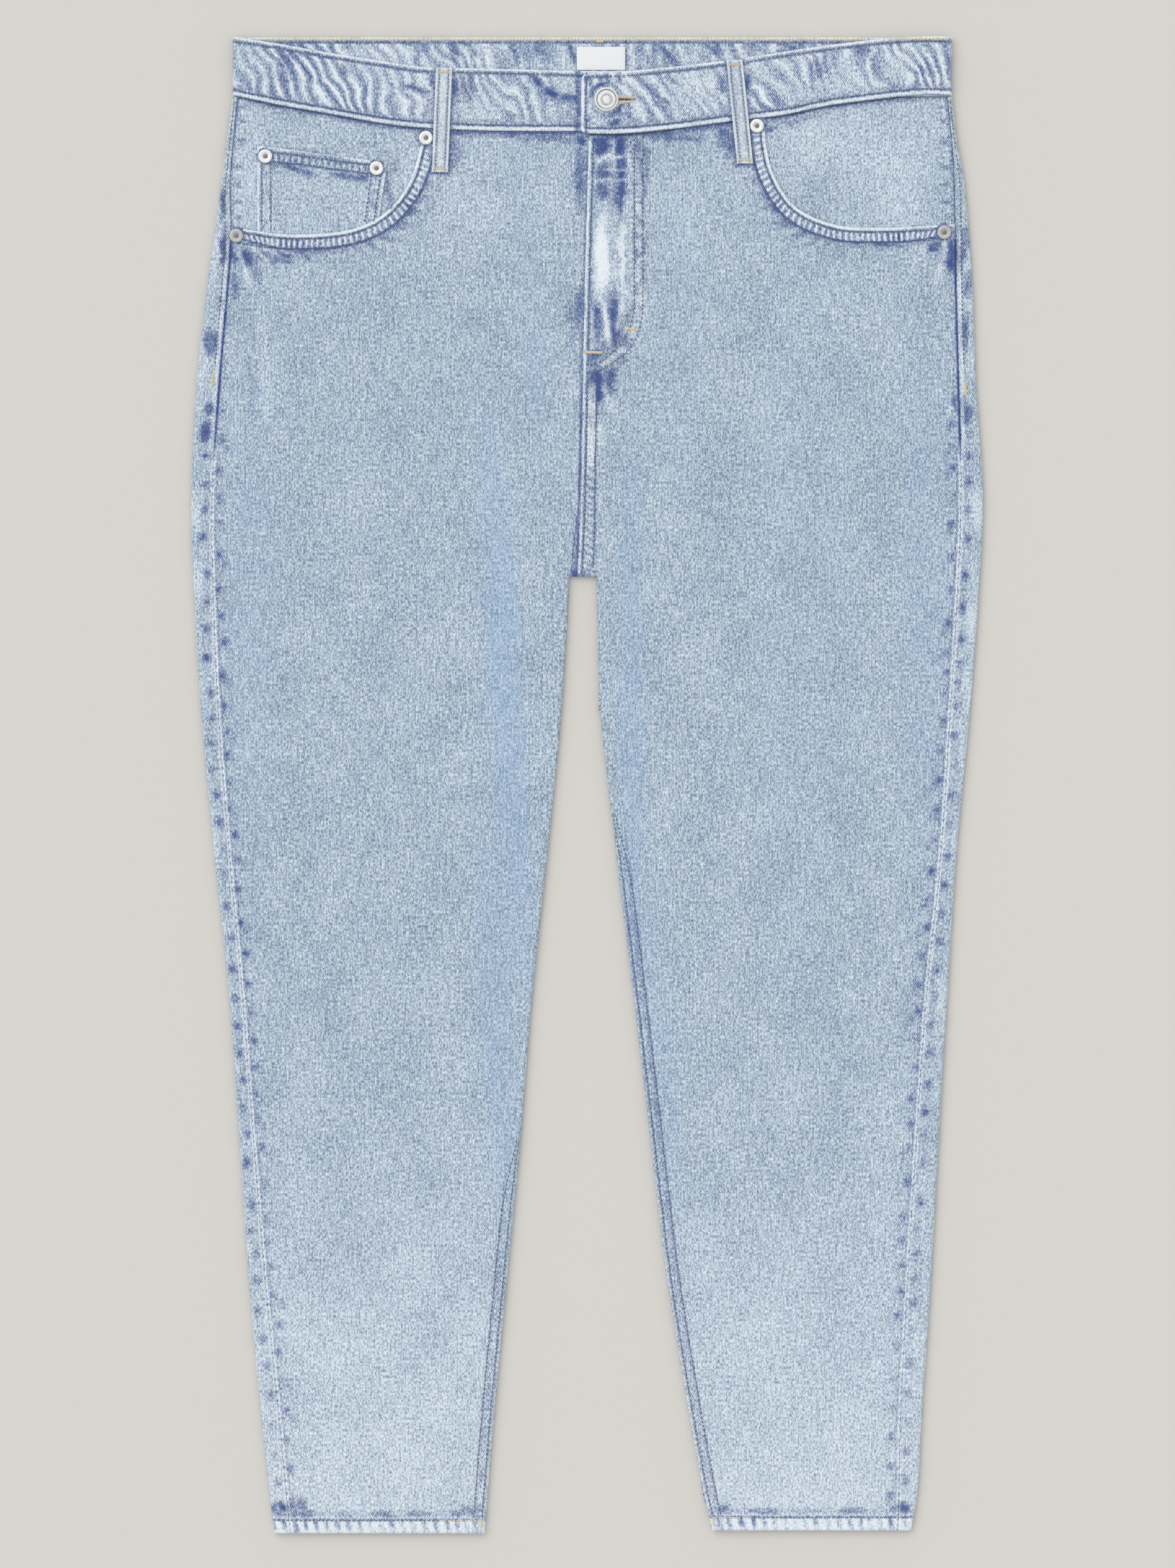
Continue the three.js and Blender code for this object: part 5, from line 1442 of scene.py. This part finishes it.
class Sewing:
    """Stitches laid on finished cloth pieces, joined to one mesh for each thread."""

    def __init__(self, surfaces, face=1):
        graph = bpy.context.evaluated_depsgraph_get()
        self.trees = [BVHTree.FromObject(bpy.data.objects[name], graph) for name in surfaces]
        self.face = face
        self.points = []
        self.faces = []

    def height(self, x, y):
        """Cloth surface at a place, seen from the side that is sewn on."""
        start = Vector((x * MM, y * MM, 0.05 * self.face))
        ray = Vector((0, 0, -self.face))
        best = None
        for tree in self.trees:
            hit = tree.ray_cast(start, ray, 0.1)[0]
            if hit is not None and (best is None or (hit.z - best) * self.face > 0):
                best = hit.z
        return None if best is None else best / MM

    def stitch(self, a, b, width, proud):
        """One stitch: a short rounded thread from a to b that dips at both ends."""
        m = ((a[0] + b[0]) / 2, (a[1] + b[1]) / 2)
        heights = [self.height(*place) for place in (a, m, b)]
        if None in heights or abs(heights[0] - heights[2]) > 2:
            return
        start, middle, stop = (np.array([*place, z]) for place, z in zip((a, m, b), heights))
        size = np.linalg.norm(stop - start)
        along = (stop - start) / size
        up = np.array([0, 0, float(self.face)])
        beside = np.cross(along, up)
        beside = beside / np.linalg.norm(beside)
        base = len(self.points)
        self.points.append(start - 0.25 * up)
        for share in (-0.3, 0.3):
            for k in range(6):
                angle = math.pi * k / 3
                place = middle + along * size * share + beside * width / 2 * math.cos(angle)
                self.points.append(place + up * (proud * math.sin(angle) + 0.05))
        self.points.append(stop - 0.25 * up)
        for k in range(6):
            n = (k + 1) % 6
            self.faces.append([base, base + 1 + n, base + 1 + k])
            self.faces.append([base + 1 + k, base + 1 + n, base + 7 + n, base + 7 + k])
            self.faces.append([base + 13, base + 7 + k, base + 7 + n])

    def row(self, places, pitch=None, gap=0.6, width=None, proud=0.3):
        """A row of stitches along places in millimetres."""
        places = np.array(places, float)
        pitch = pitch or sizes().stitch / MM
        width = width or sizes().thread / MM
        reach = run_along(places)
        count = max(1, round(reach[-1] / pitch))
        step = reach[-1] / count
        for k in range(count):
            ends = np.array([k * step + gap / 2, (k + 1) * step - gap / 2])
            xs = np.interp(ends, reach, places[:, 0])
            ys = np.interp(ends, reach, places[:, 1])
            self.stitch((xs[0], ys[0]), (xs[1], ys[1]), width, proud)

    def tack(self, a, b, width=2.4, pitch=0.6):
        """A bar tack: close stitches across the line from a to b."""
        a = np.array(a, float)
        b = np.array(b, float)
        size = np.hypot(*(b - a))
        along = (b - a) / size
        beside = np.array([-along[1], along[0]]) * width / 2
        for k in range(max(2, round(size / pitch))):
            place = a + along * (k + 0.5) * pitch
            lean = along * 0.25
            self.stitch(tuple(place - beside - lean), tuple(place + beside + lean), 0.8, 0.5)

    def finish(self, name, material, slot):
        points = np.array(self.points)
        make_piece(name, points, self.faces, material)


def both_sides(*stems):
    return tuple(f"denim_{stem}_{name}" for stem in stems for name in ("right", "left"))


TOP_CLOTH = both_sides("front", "back", "yoke", "facing") + ("denim_coin_pocket", "denim_waistband")
LOOPS = tuple(f"{loop[0]}_strip" for loop in BELT_LOOPS)
UNDER_CLOTH = both_sides("back", "yoke", "back_pocket") + ("denim_waistband",)
# Both rows of the fly's J, from the waist seam down to the centre front
J_STITCH = (
    ((J_LINES[0], 456), (J_LINES[0], 345), (32.5, 330), (25.75, 313.75), (16.75, 303.75),
     (8.25, 297.25), (-1.5, 295.75)),
    ((J_LINES[1], 458), (J_LINES[1], 345), (38, 326), (30, 307), (19.75, 298.75),
     (7.75, 290.75), (-1.25, 289.75)),
)


def rounded_route(knots):
    """Smooth route through knots, thick enough with places for short stitches."""
    knots = np.array(knots, float)
    reach = run_along(knots)
    fine = np.linspace(0, reach[-1], 200)
    table = {"s": reach, "x": knots[:, 0], "y": knots[:, 1]}
    return together(curve_at(table, "s", "x", fine), curve_at(table, "s", "y", fine))


def band_rows():
    """Stitch rows on the waistband's front: along both edges, and up the lapped end."""
    rows = []
    for side, start in ((-1, 5.5), (1, -0.5)):
        table = BAND_EDGE[side_name(side)]
        end = BAND_FOLD[side_name(side)] - 4
        reach = np.linspace(start, end, 140)
        for column, shift in (("top", -BAND_STITCH["top"]), ("low", BAND_STITCH["low"])):
            rows.append(together(side * reach, curve_at(table, "x", column, reach) + shift))
    low = float(curve_at(BAND_EDGE["left"], "x", "low", 0))
    rows.append(np.array([(-0.8, low + 5), (-1.3, low + 12), (-1.3, 490), (-0.4, 496.5), (1.5, 498.5)]))
    return rows


def sew_front(blue, tan):
    for row in band_rows():
        blue.row(row)
    for x in np.arange(-246, 253, 2.4):
        top = BAND_BACK["top"] - 0.5
        tan.stitch((x, top), (x + 1.2, top - 2.0), 0.8, 0.3)
        tan.stitch((x + 1.2, top - 2.0), (x + 2.4, top), 0.8, 0.3)
    for side in (-1, 1):
        sew_half(blue, tan, side)
    for route in J_STITCH:
        blue.row(rounded_route(route))
    y = np.linspace(455, 306, 80)
    blue.row(together(fly_x(y) + FLY_STITCH, y))
    y = np.linspace(288, 152, 60)
    for shift in (CENTRE_STITCH, centre_seam_row(y)):
        blue.row(together(fly_x(y) + shift, y))
    tan.tack((27.3, 321.5), (34, 321), 2.4)
    tan.tack((-1.8, 305), (11, 304.6), 2.5)
    tan.tack((6.5, 524.5), (11, 524.5), 2.6)
    x = np.linspace(-228, -145, 60)
    for shift in COIN_STITCH:
        blue.row(together(x, coin_top(x) - shift))
    for x_low, x_top in ((-229.3, -229.3), (-222.9, -222.9), (-150.5, -144.2), (-157, -150.6)):
        blue.row(np.array([(x_top, 440 if x_top > -200 else 445), (x_low, 396)]))


def sew_half(blue, tan, side):
    """Pocket edge, outseam, inner leg and hem of one half."""
    share = np.linspace(0.03, 0.985, 120)
    for distance in POCKET_STITCH:
        x, y = past_pocket(side, share, distance)
        blue.row(together(x, y))
    y = np.linspace(482, 296, 90)
    x = outseam_x(side, y) + side * np.minimum(4, 0.5 * outline(side, "inset", y))
    blue.row(together(x, y))
    tack_y = 285.5 if side < 0 else 279.75
    tack_x = float(outseam_x(side, tack_y)) + side * 4.5
    tan.tack((tack_x, tack_y + 4.5), (tack_x + side * 0.6, tack_y - 4.5), 2.2)
    hem = hem_y(side)
    left = abs(float(inner_x(side, hem + 10))) + 3
    right = abs(float(fold_x(side, hem + 10))) - 3
    line = np.linspace(left, right, 80) * side
    y_line = hem + HEM_STITCH + 0.3 * wobble(line, 20, 161)
    split = line[: len(line) // 5]
    tan.row(np.stack([split, y_line[: len(split)]], -1))
    blue.row(np.stack([line[len(split):], y_line[len(split):]], -1))
    start = -250 if side < 0 else -20
    y = np.linspace(start, hem + 11, 200)
    for shift in LEG_STITCH:
        place = inner_x(side, y) + side * shift * smooth(y, start + 30, start - 60)
        blue.row(together(place + side * 0.4, y))
    tan.tack((side * left, hem + 4), (side * left, hem + 10), 1.4)


def sew_loops(blue, tan):
    for _, top_x, top_y, low_x, low_y in BELT_LOOPS:
        for shift in (-LOOP_STITCH, LOOP_STITCH):
            line = ((top_x + shift, top_y - 1.5), (low_x + shift, low_y + 1.5))
            blue.row(line, pitch=2.6, gap=0.5, width=0.6, proud=0.22)
        tan.tack((top_x - 4.5, top_y - 3.2), (top_x + 4.5, top_y - 3.2), 1.6)
        tan.tack((low_x - 4.5, low_y + 2.6), (low_x + 4.5, low_y + 2.6), 1.6)


def sew_buttonhole(tan):
    """Keyhole edge: close stitches that lean to the slot, wide at the eye and narrow at its end."""
    start = BUTTON["x"] + 7.6
    stop = BUTTONHOLE_END + 0.6
    count = 22
    for k in range(count):
        x = lerp(start, stop, k / (count - 1))
        reach = lerp(3.6, 0.8, k / (count - 1))
        for way in (-1, 1):
            y = BUTTON["y"] + way * 0.55
            tan.stitch((x, y), (x - 0.5, y + way * reach), 0.75, 0.35)


def sew_back(blue):
    for side in (-1, 1):
        reach = np.linspace(12, 245, 120)
        seam = lerp(YOKE["centre"], YOKE["side"], reach / 260)
        for shift in YOKE_STITCH:
            blue.row(together(side * reach, seam - shift), proud=0.0)
        pocket = BACK_POCKET
        half = pocket["width"] / 2
        for inset in BACK_POCKET_STITCH:
            foot = half - pocket["taper"] - inset
            corners = [(half - inset, pocket["top"] - 2), (foot, pocket["foot"] + inset),
                       (0, pocket["point"] + inset * 1.05), (-foot, pocket["foot"] + inset),
                       (inset - half, pocket["top"] - 2)]
            blue.row(np.array([(side * pocket["centre"] + x, y) for x, y in corners]), proud=0.0)
        y = np.linspace(BAND_BACK["low"] - 4, CROTCH_Y + 6, 90)
        blue.row(together(centre_back_x(y) + side * 3, y), proud=0.0)
    back = np.linspace(-240, 246, 200)
    for y in (BAND_BACK["top"] - BAND_STITCH["top"], BAND_BACK["low"] + BAND_STITCH["low"]):
        blue.row(together(back, 0 * back + y), proud=0.0)


# Hard pieces, modelled with Blender's own operators

def select_top():
    """Selects the highest faces of the mesh in edit mode."""
    bpy.ops.object.mode_set(mode="OBJECT")
    mesh = bpy.context.object.data
    lowest_top = max(face.center.z for face in mesh.polygons) - 0.01 * MM
    for part in (mesh.vertices, mesh.edges):
        part.foreach_set("select", np.zeros(len(part), bool))
    for face in mesh.polygons:
        face.select = face.center.z > lowest_top and face.normal.z > 0.9
    bpy.ops.object.mode_set(mode="EDIT")


def round_blank(name, sides, radius, thick, x, y, z):
    """A disc standing on z, left in edit mode with its top face selected."""
    bpy.ops.object.select_all(action="DESELECT")
    bpy.ops.mesh.primitive_cylinder_add(vertices=sides, radius=radius * MM, depth=thick * MM,
                                        location=(x * MM, y * MM, (z + thick / 2) * MM))
    blank = bpy.context.object
    blank.name = name
    blank.data.name = name
    bpy.ops.object.transform_apply(location=True, rotation=True, scale=True)
    bpy.ops.object.mode_set(mode="EDIT")
    bpy.ops.mesh.select_mode(type="FACE")
    select_top()
    return blank


def step_in(*steps):
    """Insets the selected face and moves it up or down, once for each step."""
    for narrower, rise in steps:
        bpy.ops.mesh.inset(thickness=narrower * MM, use_even_offset=True)
        bpy.ops.transform.translate(value=(0, 0, rise * MM))


def raise_top(rise):
    bpy.ops.mesh.extrude_region_move(TRANSFORM_OT_translate={"value": (0, 0, rise * MM)})


def round_off(piece, width, material, node):
    """Softens the edges of a hard piece and finishes it."""
    bpy.ops.object.mode_set(mode="OBJECT")
    bevel = piece.modifiers.new("soft_edges", "BEVEL")
    bevel.width = width * MM
    bevel.segments = 2
    bevel.limit_method = "ANGLE"
    bevel.angle_limit = math.radians(28)
    bpy.ops.object.modifier_apply(modifier=bevel.name)
    bpy.ops.object.shade_smooth_by_angle(angle=math.radians(40))
    finish_piece(piece, material, (node,) if node else ())


def make_rivet(node, material, shank):
    """A washer-like cap with a sunk ring and a nipple in the middle, on the CAD rivet's place."""
    low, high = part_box(node)
    x = (low[0] + high[0]) / 2 / MM
    y = (low[1] + high[1]) / 2 / MM
    z = low[2] / MM
    piece = round_blank(f"{node}_cap", 40, RIVET["radius"], RIVET["thick"] * 0.5, x, y, z)
    step_in((0.45, 0.32), (0.75, 0.2), (0.6, -0.12), (0.95, -0.42))
    round_off(piece, 0.12, material, node)
    nipple = round_blank(f"{node}_nipple", 24, RIVET["nipple"], 0.5, x, y, z + 0.45)
    step_in((0.15, 0.55), (0.5, 0.2))
    round_off(nipple, 0.1, shank, None)


def make_button(material, metal):
    """Shank button: dished face inside a rolled rim, with a plain raised ring at its centre."""
    low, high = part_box("waist_button")
    z = high[2] / MM - BUTTON["thick"]
    middle = (BUTTON["x"], BUTTON["y"], z)
    foot = 0.93
    piece = round_blank("waist_button_cap", 64, BUTTON["radius"] * foot, 0.5, *middle)
    raise_top(0.5)
    bpy.ops.transform.resize(value=(1 / foot, 1 / foot, 1), center_override=[c * MM for c in middle])
    raise_top(0.9)
    step_in((0.35, 0.45), (0.7, 0.35), (0.5, -0.25), (0.35, -0.75), (2.5, 0.1), (0.25, 0.65), (0.55, 0.05),
            (0.3, -0.75), (1.6, 0.3))
    round_off(piece, 0.14, material, "waist_button")
    piece.data.materials.append(metal)
    # The grooves get the darker nipple metal as painted shade.
    for face in piece.data.polygons:
        reach = math.hypot(face.center.x / MM - BUTTON["x"], face.center.y / MM - BUTTON["y"])
        if any(low < reach < top for low, top in BUTTON_GROOVES) and face.normal.z > 0.05:
            face.material_index = 1
    shank = round_blank("waist_button_shank", 32, 2.6, z - LAID, BUTTON["x"], BUTTON["y"], LAID)
    step_in((0.3, 0.3))
    bpy.ops.object.mode_set(mode="OBJECT")
    finish_piece(shank, metal)


# Materials

def add(tree, kind, inputs, out=0, **settings):
    """An output of a new node with settings and inputs, which are values or other nodes' outputs."""
    made = tree.nodes.new("ShaderNode" + kind)
    for key, value in settings.items():
        setattr(made, key, value)
    join(tree, made, inputs)
    return made.outputs[out]


def join(tree, node, inputs):
    for key, value in inputs.items():
        if isinstance(value, bpy.types.NodeSocket):
            tree.links.new(value, node.inputs[key])
        else:
            node.inputs[key].default_value = value


def finish(name, draw):
    """A new material; draw gets its node tree and returns the surface's inputs.

    Relief is its pattern, strength and depth.
    """
    material = bpy.data.materials.new(name)
    material.use_nodes = True
    tree = material.node_tree
    inputs = draw(tree)
    if "Relief" in inputs:
        bump = dict(zip(("Height", "Strength", "Distance"), inputs.pop("Relief")))
        inputs["Normal"] = add(tree, "Bump", bump)
    join(tree, tree.nodes["Principled BSDF"], inputs)
    return material


def rgba(values, share=1.0):
    return (*(share * value for value in values), 1.0)


def blended(tree, factor, a, b):
    return add(tree, "Mix", {0: factor, 6: a, 7: b}, 2, data_type="RGBA", clamp_factor=True)


def patterned(tree, place, size_x, size_y, detail, rough=0.55):
    """Noise with patches of size_x by size_y millimetres."""
    scale = (1 / (size_x * MM), 1 / (size_y * MM), 1)
    stretch = add(tree, "Mapping", {"Vector": place, "Scale": scale})
    return add(tree, "TexNoise", {"Vector": stretch, "Scale": 1.0, "Detail": detail, "Roughness": rough})


def lines(tree, place, pitch, way, uneven):
    """Bands at a pitch in metres, across X or Y."""
    return add(tree, "TexWave", {"Vector": place, "Scale": math.pi / 10 / pitch, **uneven}, 1,
               wave_type="BANDS", bands_direction=way)


def spread_range(tree, value, low, high, start=0.0, stop=1.0):
    return add(tree, "MapRange", {"Value": value, 1: low, 2: high, 3: start, 4: stop})


def summed(tree, start, *parts):
    """Start plus each value's distance from a half times its weight."""
    total = start - sum(weight for _, weight in parts) / 2
    for value, weight in parts:
        total = add(tree, "Math", {0: value, 1: weight, 2: total}, operation="MULTIPLY_ADD")
    return total


def plus(tree, a, b):
    return add(tree, "Math", {0: a, 1: b}, operation="ADD")


def times(tree, a, b):
    return add(tree, "Math", {0: a, 1: b}, operation="MULTIPLY")


def mottled(tree, pattern, low, high, tone, share):
    """A tone that darkens to a share of itself where the pattern is low."""
    return blended(tree, spread_range(tree, pattern, low, high), rgba(tone, share), rgba(tone))


def washed_cotton_denim(name, bleach=0.0):
    """Three-by-one cotton twill, stone washed: slanted warp lines, flecks, slubs, blue left in folds, and
    the painted shade and shadow of the blue marks.

    bleach lightens the whole cloth, as on the belt loops.
    """
    look = bpy.context.scene.jeans_colours

    def draw(tree):
        cloth = add(tree, "UVMap", {}, uv_map="cloth")
        turned = add(tree, "Mapping", {"Vector": cloth, "Rotation": (0, 0, math.radians(30))})
        uneven = {"Distortion": 1.2, "Detail": 2.0, "Detail Scale": 0.6}
        twill = lines(tree, turned, sizes().twill, "X", uneven)
        fleck = patterned(tree, cloth, 1.15, 2.1, 3.0, 0.6)
        coarse = patterned(tree, cloth, 2.6, 6.5, 2.0)
        slub = patterned(tree, cloth, 1.3, 16, 1.0)
        mottle = patterned(tree, cloth, 38, 60, 3.0)
        tint, pale, blue = (add(tree, "Attribute", {}, 2, attribute_name=key)
                            for key in ("tint", "pale", "blue"))

        weave = summed(tree, 0.49, (fleck, 3.1), (coarse, 0.7), (slub, 0.8), (mottle, 0.45), (twill, 0.45))
        weave = plus(tree, weave, times(tree, pale, 0.5))
        tone = blended(tree, spread_range(tree, weave, 0, 0.5), rgba(look.grain), rgba(look.denim))
        tone = blended(tree, spread_range(tree, weave, 0.5, 1.1), tone, rgba(look.weft))
        tone = blended(tree, times(tree, tint, 0.27), tone, rgba(look.tint))
        rubbed = spread_range(tree, summed(tree, 0.5, (pale, 1.0), (fleck, 1.0), (twill, 0.3)), 0.3, 1.0)
        rubbed = times(tree, rubbed, spread_range(tree, pale, 0, 0.25))
        tone = blended(tree, times(tree, rubbed, 0.9), tone, rgba(look.worn))
        # Blue from the blue marks: unworn indigo, and painted shade and shadow.
        held_indigo_and_shade = spread_range(tree, summed(tree, 0.5, (blue, 1.0), (fleck, -1.2), (twill, -0.35)), -0.1, 0.8)
        held_indigo_and_shade = times(tree, held_indigo_and_shade, spread_range(tree, blue, 0, 0.12))
        tone = blended(tree, held_indigo_and_shade, tone, rgba(look.blue))
        if bleach:
            tone = blended(tree, bleach, tone, rgba(look.bleached))
        return {"Base Color": tone, "Relief": (plus(tree, times(tree, twill, 0.5), fleck), 0.55, 0.25 * MM),
                "Roughness": 0.92, "Specular IOR Level": 0.25, "Sheen Weight": 0.12, "Sheen Roughness": 0.6}

    return finish(name, draw)


def polyester_core_thread(name, tone):
    """Corespun sewing thread: fuzzy, with darker places between its fibres."""
    def draw(tree):
        fuzz = patterned(tree, add(tree, "TexCoord", {}, "Object"), 0.7, 0.7, 3.0)
        return {"Base Color": mottled(tree, fuzz, 0.3, 0.7, tone, 0.6), "Relief": (fuzz, 0.4, 0.1 * MM),
                "Roughness": 0.75, "Sheen Weight": 0.2}

    return finish(name, draw)


def tumbled_nickel_plate(name, tone, rough, metallic):
    """Nickel-plated brass, tumbled with the wash: dull, with fine scuffs and darker pits."""
    def draw(tree):
        place = add(tree, "TexCoord", {}, "Object")
        scuff = patterned(tree, place, 0.5, 1.2, 4.0, 0.7)
        grime = patterned(tree, place, 3.5, 3.5, 3.0)
        return {"Base Color": mottled(tree, grime, 0.35, 0.65, tone, 0.88),
                "Relief": (scuff, 0.25, 0.1 * MM),
                "Roughness": spread_range(tree, scuff, 0.3, 0.7, rough - 0.08, rough + 0.12),
                "Metallic": metallic}

    return finish(name, draw)


def woven_polyester_tape(name, tone):
    """Satin-woven label tape with fine ribs across."""
    def draw(tree):
        ribs = lines(tree, add(tree, "UVMap", {}, uv_map="cloth"), 0.8 * MM, "Y", {"Distortion": 0.6})
        return {"Base Color": blended(tree, ribs, rgba(tone, 0.86), rgba(tone)),
                "Relief": (ribs, 0.3, 0.1 * MM), "Roughness": 0.55}

    return finish(name, draw)


def seamless_paper(name, tone):
    """Matt backdrop paper with barely any tooth."""
    def draw(tree):
        tooth = patterned(tree, add(tree, "TexCoord", {}, "Object"), 3, 3, 2.0)
        return {"Base Color": mottled(tree, tooth, 0.2, 0.8, tone, 0.99), "Roughness": 1.0,
                "Specular IOR Level": 0.0}

    return finish(name, draw)


def kept(name, make, *values):
    """The named material, made on first use."""
    return bpy.data.materials.get(name) or make(name, *values)


def denim():
    return kept("washed_cotton_denim", washed_cotton_denim)


def loop_denim():
    return kept("bleached_loop_denim", washed_cotton_denim, 0.3)


def threads():
    look = bpy.context.scene.jeans_colours
    return (kept("tonal_corespun_thread", polyester_core_thread, look.blue_thread),
            kept("tan_corespun_thread", polyester_core_thread, look.tan_thread))


# Operators

class JEANS_OT_fronts(bpy.types.Operator):
    """Makes both front panels"""
    bl_idname = "jeans.fronts"
    bl_label = "Fronts"

    def execute(self, context):
        for side in (-1, 1):
            make_front(side, denim())
        return {"FINISHED"}


class JEANS_OT_backs(bpy.types.Operator):
    """Makes both back panels and the yokes"""
    bl_idname = "jeans.backs"
    bl_label = "Backs and Yokes"

    def execute(self, context):
        for side in (-1, 1):
            make_back_panel(side, denim())
            make_yoke(side, denim())
        return {"FINISHED"}


class JEANS_OT_waistband(bpy.types.Operator):
    """Makes the waistband with its buttonhole slot"""
    bl_idname = "jeans.waistband"
    bl_label = "Waistband"

    def execute(self, context):
        make_waistband(denim())
        return {"FINISHED"}


class JEANS_OT_pockets(bpy.types.Operator):
    """Makes the pocket facings, the coin pocket and the back pockets"""
    bl_idname = "jeans.pockets"
    bl_label = "Pockets"

    def execute(self, context):
        for side in (-1, 1):
            make_facing(side, denim())
            make_back_pocket(side, denim())
        make_coin_pocket(denim())
        return {"FINISHED"}


class JEANS_OT_belt_loops(bpy.types.Operator):
    """Makes the five belt loops"""
    bl_idname = "jeans.belt_loops"
    bl_label = "Belt Loops"

    def execute(self, context):
        for loop in BELT_LOOPS:
            make_front_loop(*loop, loop_denim())
        for loop in BACK_LOOPS:
            make_back_loop(*loop, loop_denim())
        return {"FINISHED"}


class JEANS_OT_label(bpy.types.Operator):
    """Makes the plain woven label"""
    bl_idname = "jeans.label"
    bl_label = "Label"

    def execute(self, context):
        look = context.scene.jeans_colours
        make_label(kept("woven_polyester_tape", woven_polyester_tape, look.label))
        return {"FINISHED"}


class JEANS_OT_fasteners(bpy.types.Operator):
    """Makes the waist button and the six rivets"""
    bl_idname = "jeans.fasteners"
    bl_label = "Button and Rivets"

    def execute(self, context):
        look = context.scene.jeans_colours
        plate = kept("tumbled_nickel_plate", tumbled_nickel_plate, look.nickel, 0.42, 0.3)
        nipple = kept("scuffed_nickel_nipple", tumbled_nickel_plate, look.nipple, 0.4, 0.8)
        # A darker copy of the nickel plate paints shade on the two side rivets.
        dull = kept("dulled_nickel_plate", tumbled_nickel_plate, [0.6 * c for c in look.nickel], 0.5, 0.4)
        face = kept("matt_nickel_button", tumbled_nickel_plate, look.button, 0.5, 0.25)
        for node in sorted(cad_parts):
            if node.startswith("rivet_"):
                make_rivet(node, dull if node.endswith("_side") else plate, nipple)
        make_button(face, nipple)
        return {"FINISHED"}


class JEANS_OT_sewing(bpy.types.Operator):
    """Sews the visible rows, bar tacks and the buttonhole"""
    bl_idname = "jeans.sewing"
    bl_label = "Sewing"

    def execute(self, context):
        blue_thread, tan_thread = threads()
        blue = Sewing(TOP_CLOTH)
        tan = Sewing(TOP_CLOTH)
        sew_front(blue, tan)
        sew_buttonhole(tan)
        loop_blue = Sewing(LOOPS)
        loop_tan = Sewing(LOOPS)
        sew_loops(loop_blue, loop_tan)
        under = Sewing(UNDER_CLOTH, -1)
        sew_back(under)
        blue.finish("stitches_tonal", blue_thread, "thread_indigo")
        tan.finish("stitches_tan", tan_thread, "thread_tan")
        loop_blue.finish("loop_stitches_tonal", blue_thread, "thread_indigo")
        loop_tan.finish("loop_tacks_tan", tan_thread, "thread_tan")
        under.finish("back_stitches_tonal", blue_thread, "thread_indigo")
        return {"FINISHED"}


class JEANS_OT_stage(bpy.types.Operator):
    """Makes the floor, the light and the camera straight above"""
    bl_idname = "jeans.stage"
    bl_label = "Stage"

    def execute(self, context):
        look = context.scene.jeans_colours
        bpy.ops.object.select_all(action="DESELECT")
        bpy.ops.mesh.primitive_plane_add(size=6, location=(0, 0, -0.4 * MM))
        floor = context.object
        floor.name = "floor"
        bpy.ops.object.transform_apply(location=True, rotation=True, scale=True)
        floor.data.materials.append(seamless_paper("seamless_paper", look.floor))
        set_light(context.scene)
        set_camera(context.scene)
        return {"FINISHED"}


def set_light(scene):
    """An even white room and one broad soft light from the upper left."""
    world = bpy.data.worlds.new("studio")
    world.use_nodes = True
    background = world.node_tree.nodes["Background"]
    background.inputs["Color"].default_value = (1, 1, 1, 1)
    background.inputs["Strength"].default_value = 0.745
    scene.world = world
    lamp = bpy.data.lights.new("softbox", "SUN")
    lamp.energy = 1.0
    lamp.angle = math.radians(60)
    light = bpy.data.objects.new("softbox", lamp)
    light.rotation_euler = (math.radians(-25), math.radians(-26), 0)
    scene.collection.objects.link(light)
    scene.view_settings.view_transform = "Standard"
    scene.view_settings.look = "None"


def set_camera(scene):
    """Straight down on the garment, framed as in the photograph."""
    distance = 5.0
    picture_height = 1.106
    picture_middle = (0.25 * MM, 0.75 * MM)
    camera = bpy.data.cameras.new("camera")
    camera.sensor_fit = "VERTICAL"
    camera.sensor_height = 24
    camera.lens = camera.sensor_height * distance / picture_height
    camera.clip_end = 50
    view = bpy.data.objects.new("camera", camera)
    view.location = (*picture_middle, distance)
    scene.collection.objects.link(view)
    scene.camera = view


class JEANS_PT_panel(bpy.types.Panel):
    """Sizes, colours and steps of the jeans"""
    bl_idname = "JEANS_PT_panel"
    bl_label = "Jeans"
    bl_space_type = "VIEW_3D"
    bl_region_type = "UI"
    bl_category = "Jeans"

    def draw(self, context):
        for group in (context.scene.jeans_sizes, context.scene.jeans_colours):
            for key in group.__annotations__:
                self.layout.prop(group, key)
        for step in STEPS:
            self.layout.operator(f"jeans.{step}")


STEPS = ("fronts", "backs", "waistband", "pockets", "belt_loops", "label", "fasteners", "sewing", "stage")
CLASSES = (
    JeansSizes, JeansColours, JEANS_OT_fronts, JEANS_OT_backs, JEANS_OT_waistband, JEANS_OT_pockets,
    JEANS_OT_belt_loops, JEANS_OT_label, JEANS_OT_fasteners, JEANS_OT_sewing, JEANS_OT_stage,
    JEANS_PT_panel,
)


def register():
    for each in CLASSES:
        bpy.utils.register_class(each)
    bpy.types.Scene.jeans_sizes = PointerProperty(type=JeansSizes)
    bpy.types.Scene.jeans_colours = PointerProperty(type=JeansColours)


def unregister():
    del bpy.types.Scene.jeans_colours
    del bpy.types.Scene.jeans_sizes
    for each in reversed(CLASSES):
        bpy.utils.unregister_class(each)


def main():
    register()
    for step in STEPS:
        getattr(bpy.ops.jeans, step)()


if __name__ == "__main__":
    main()
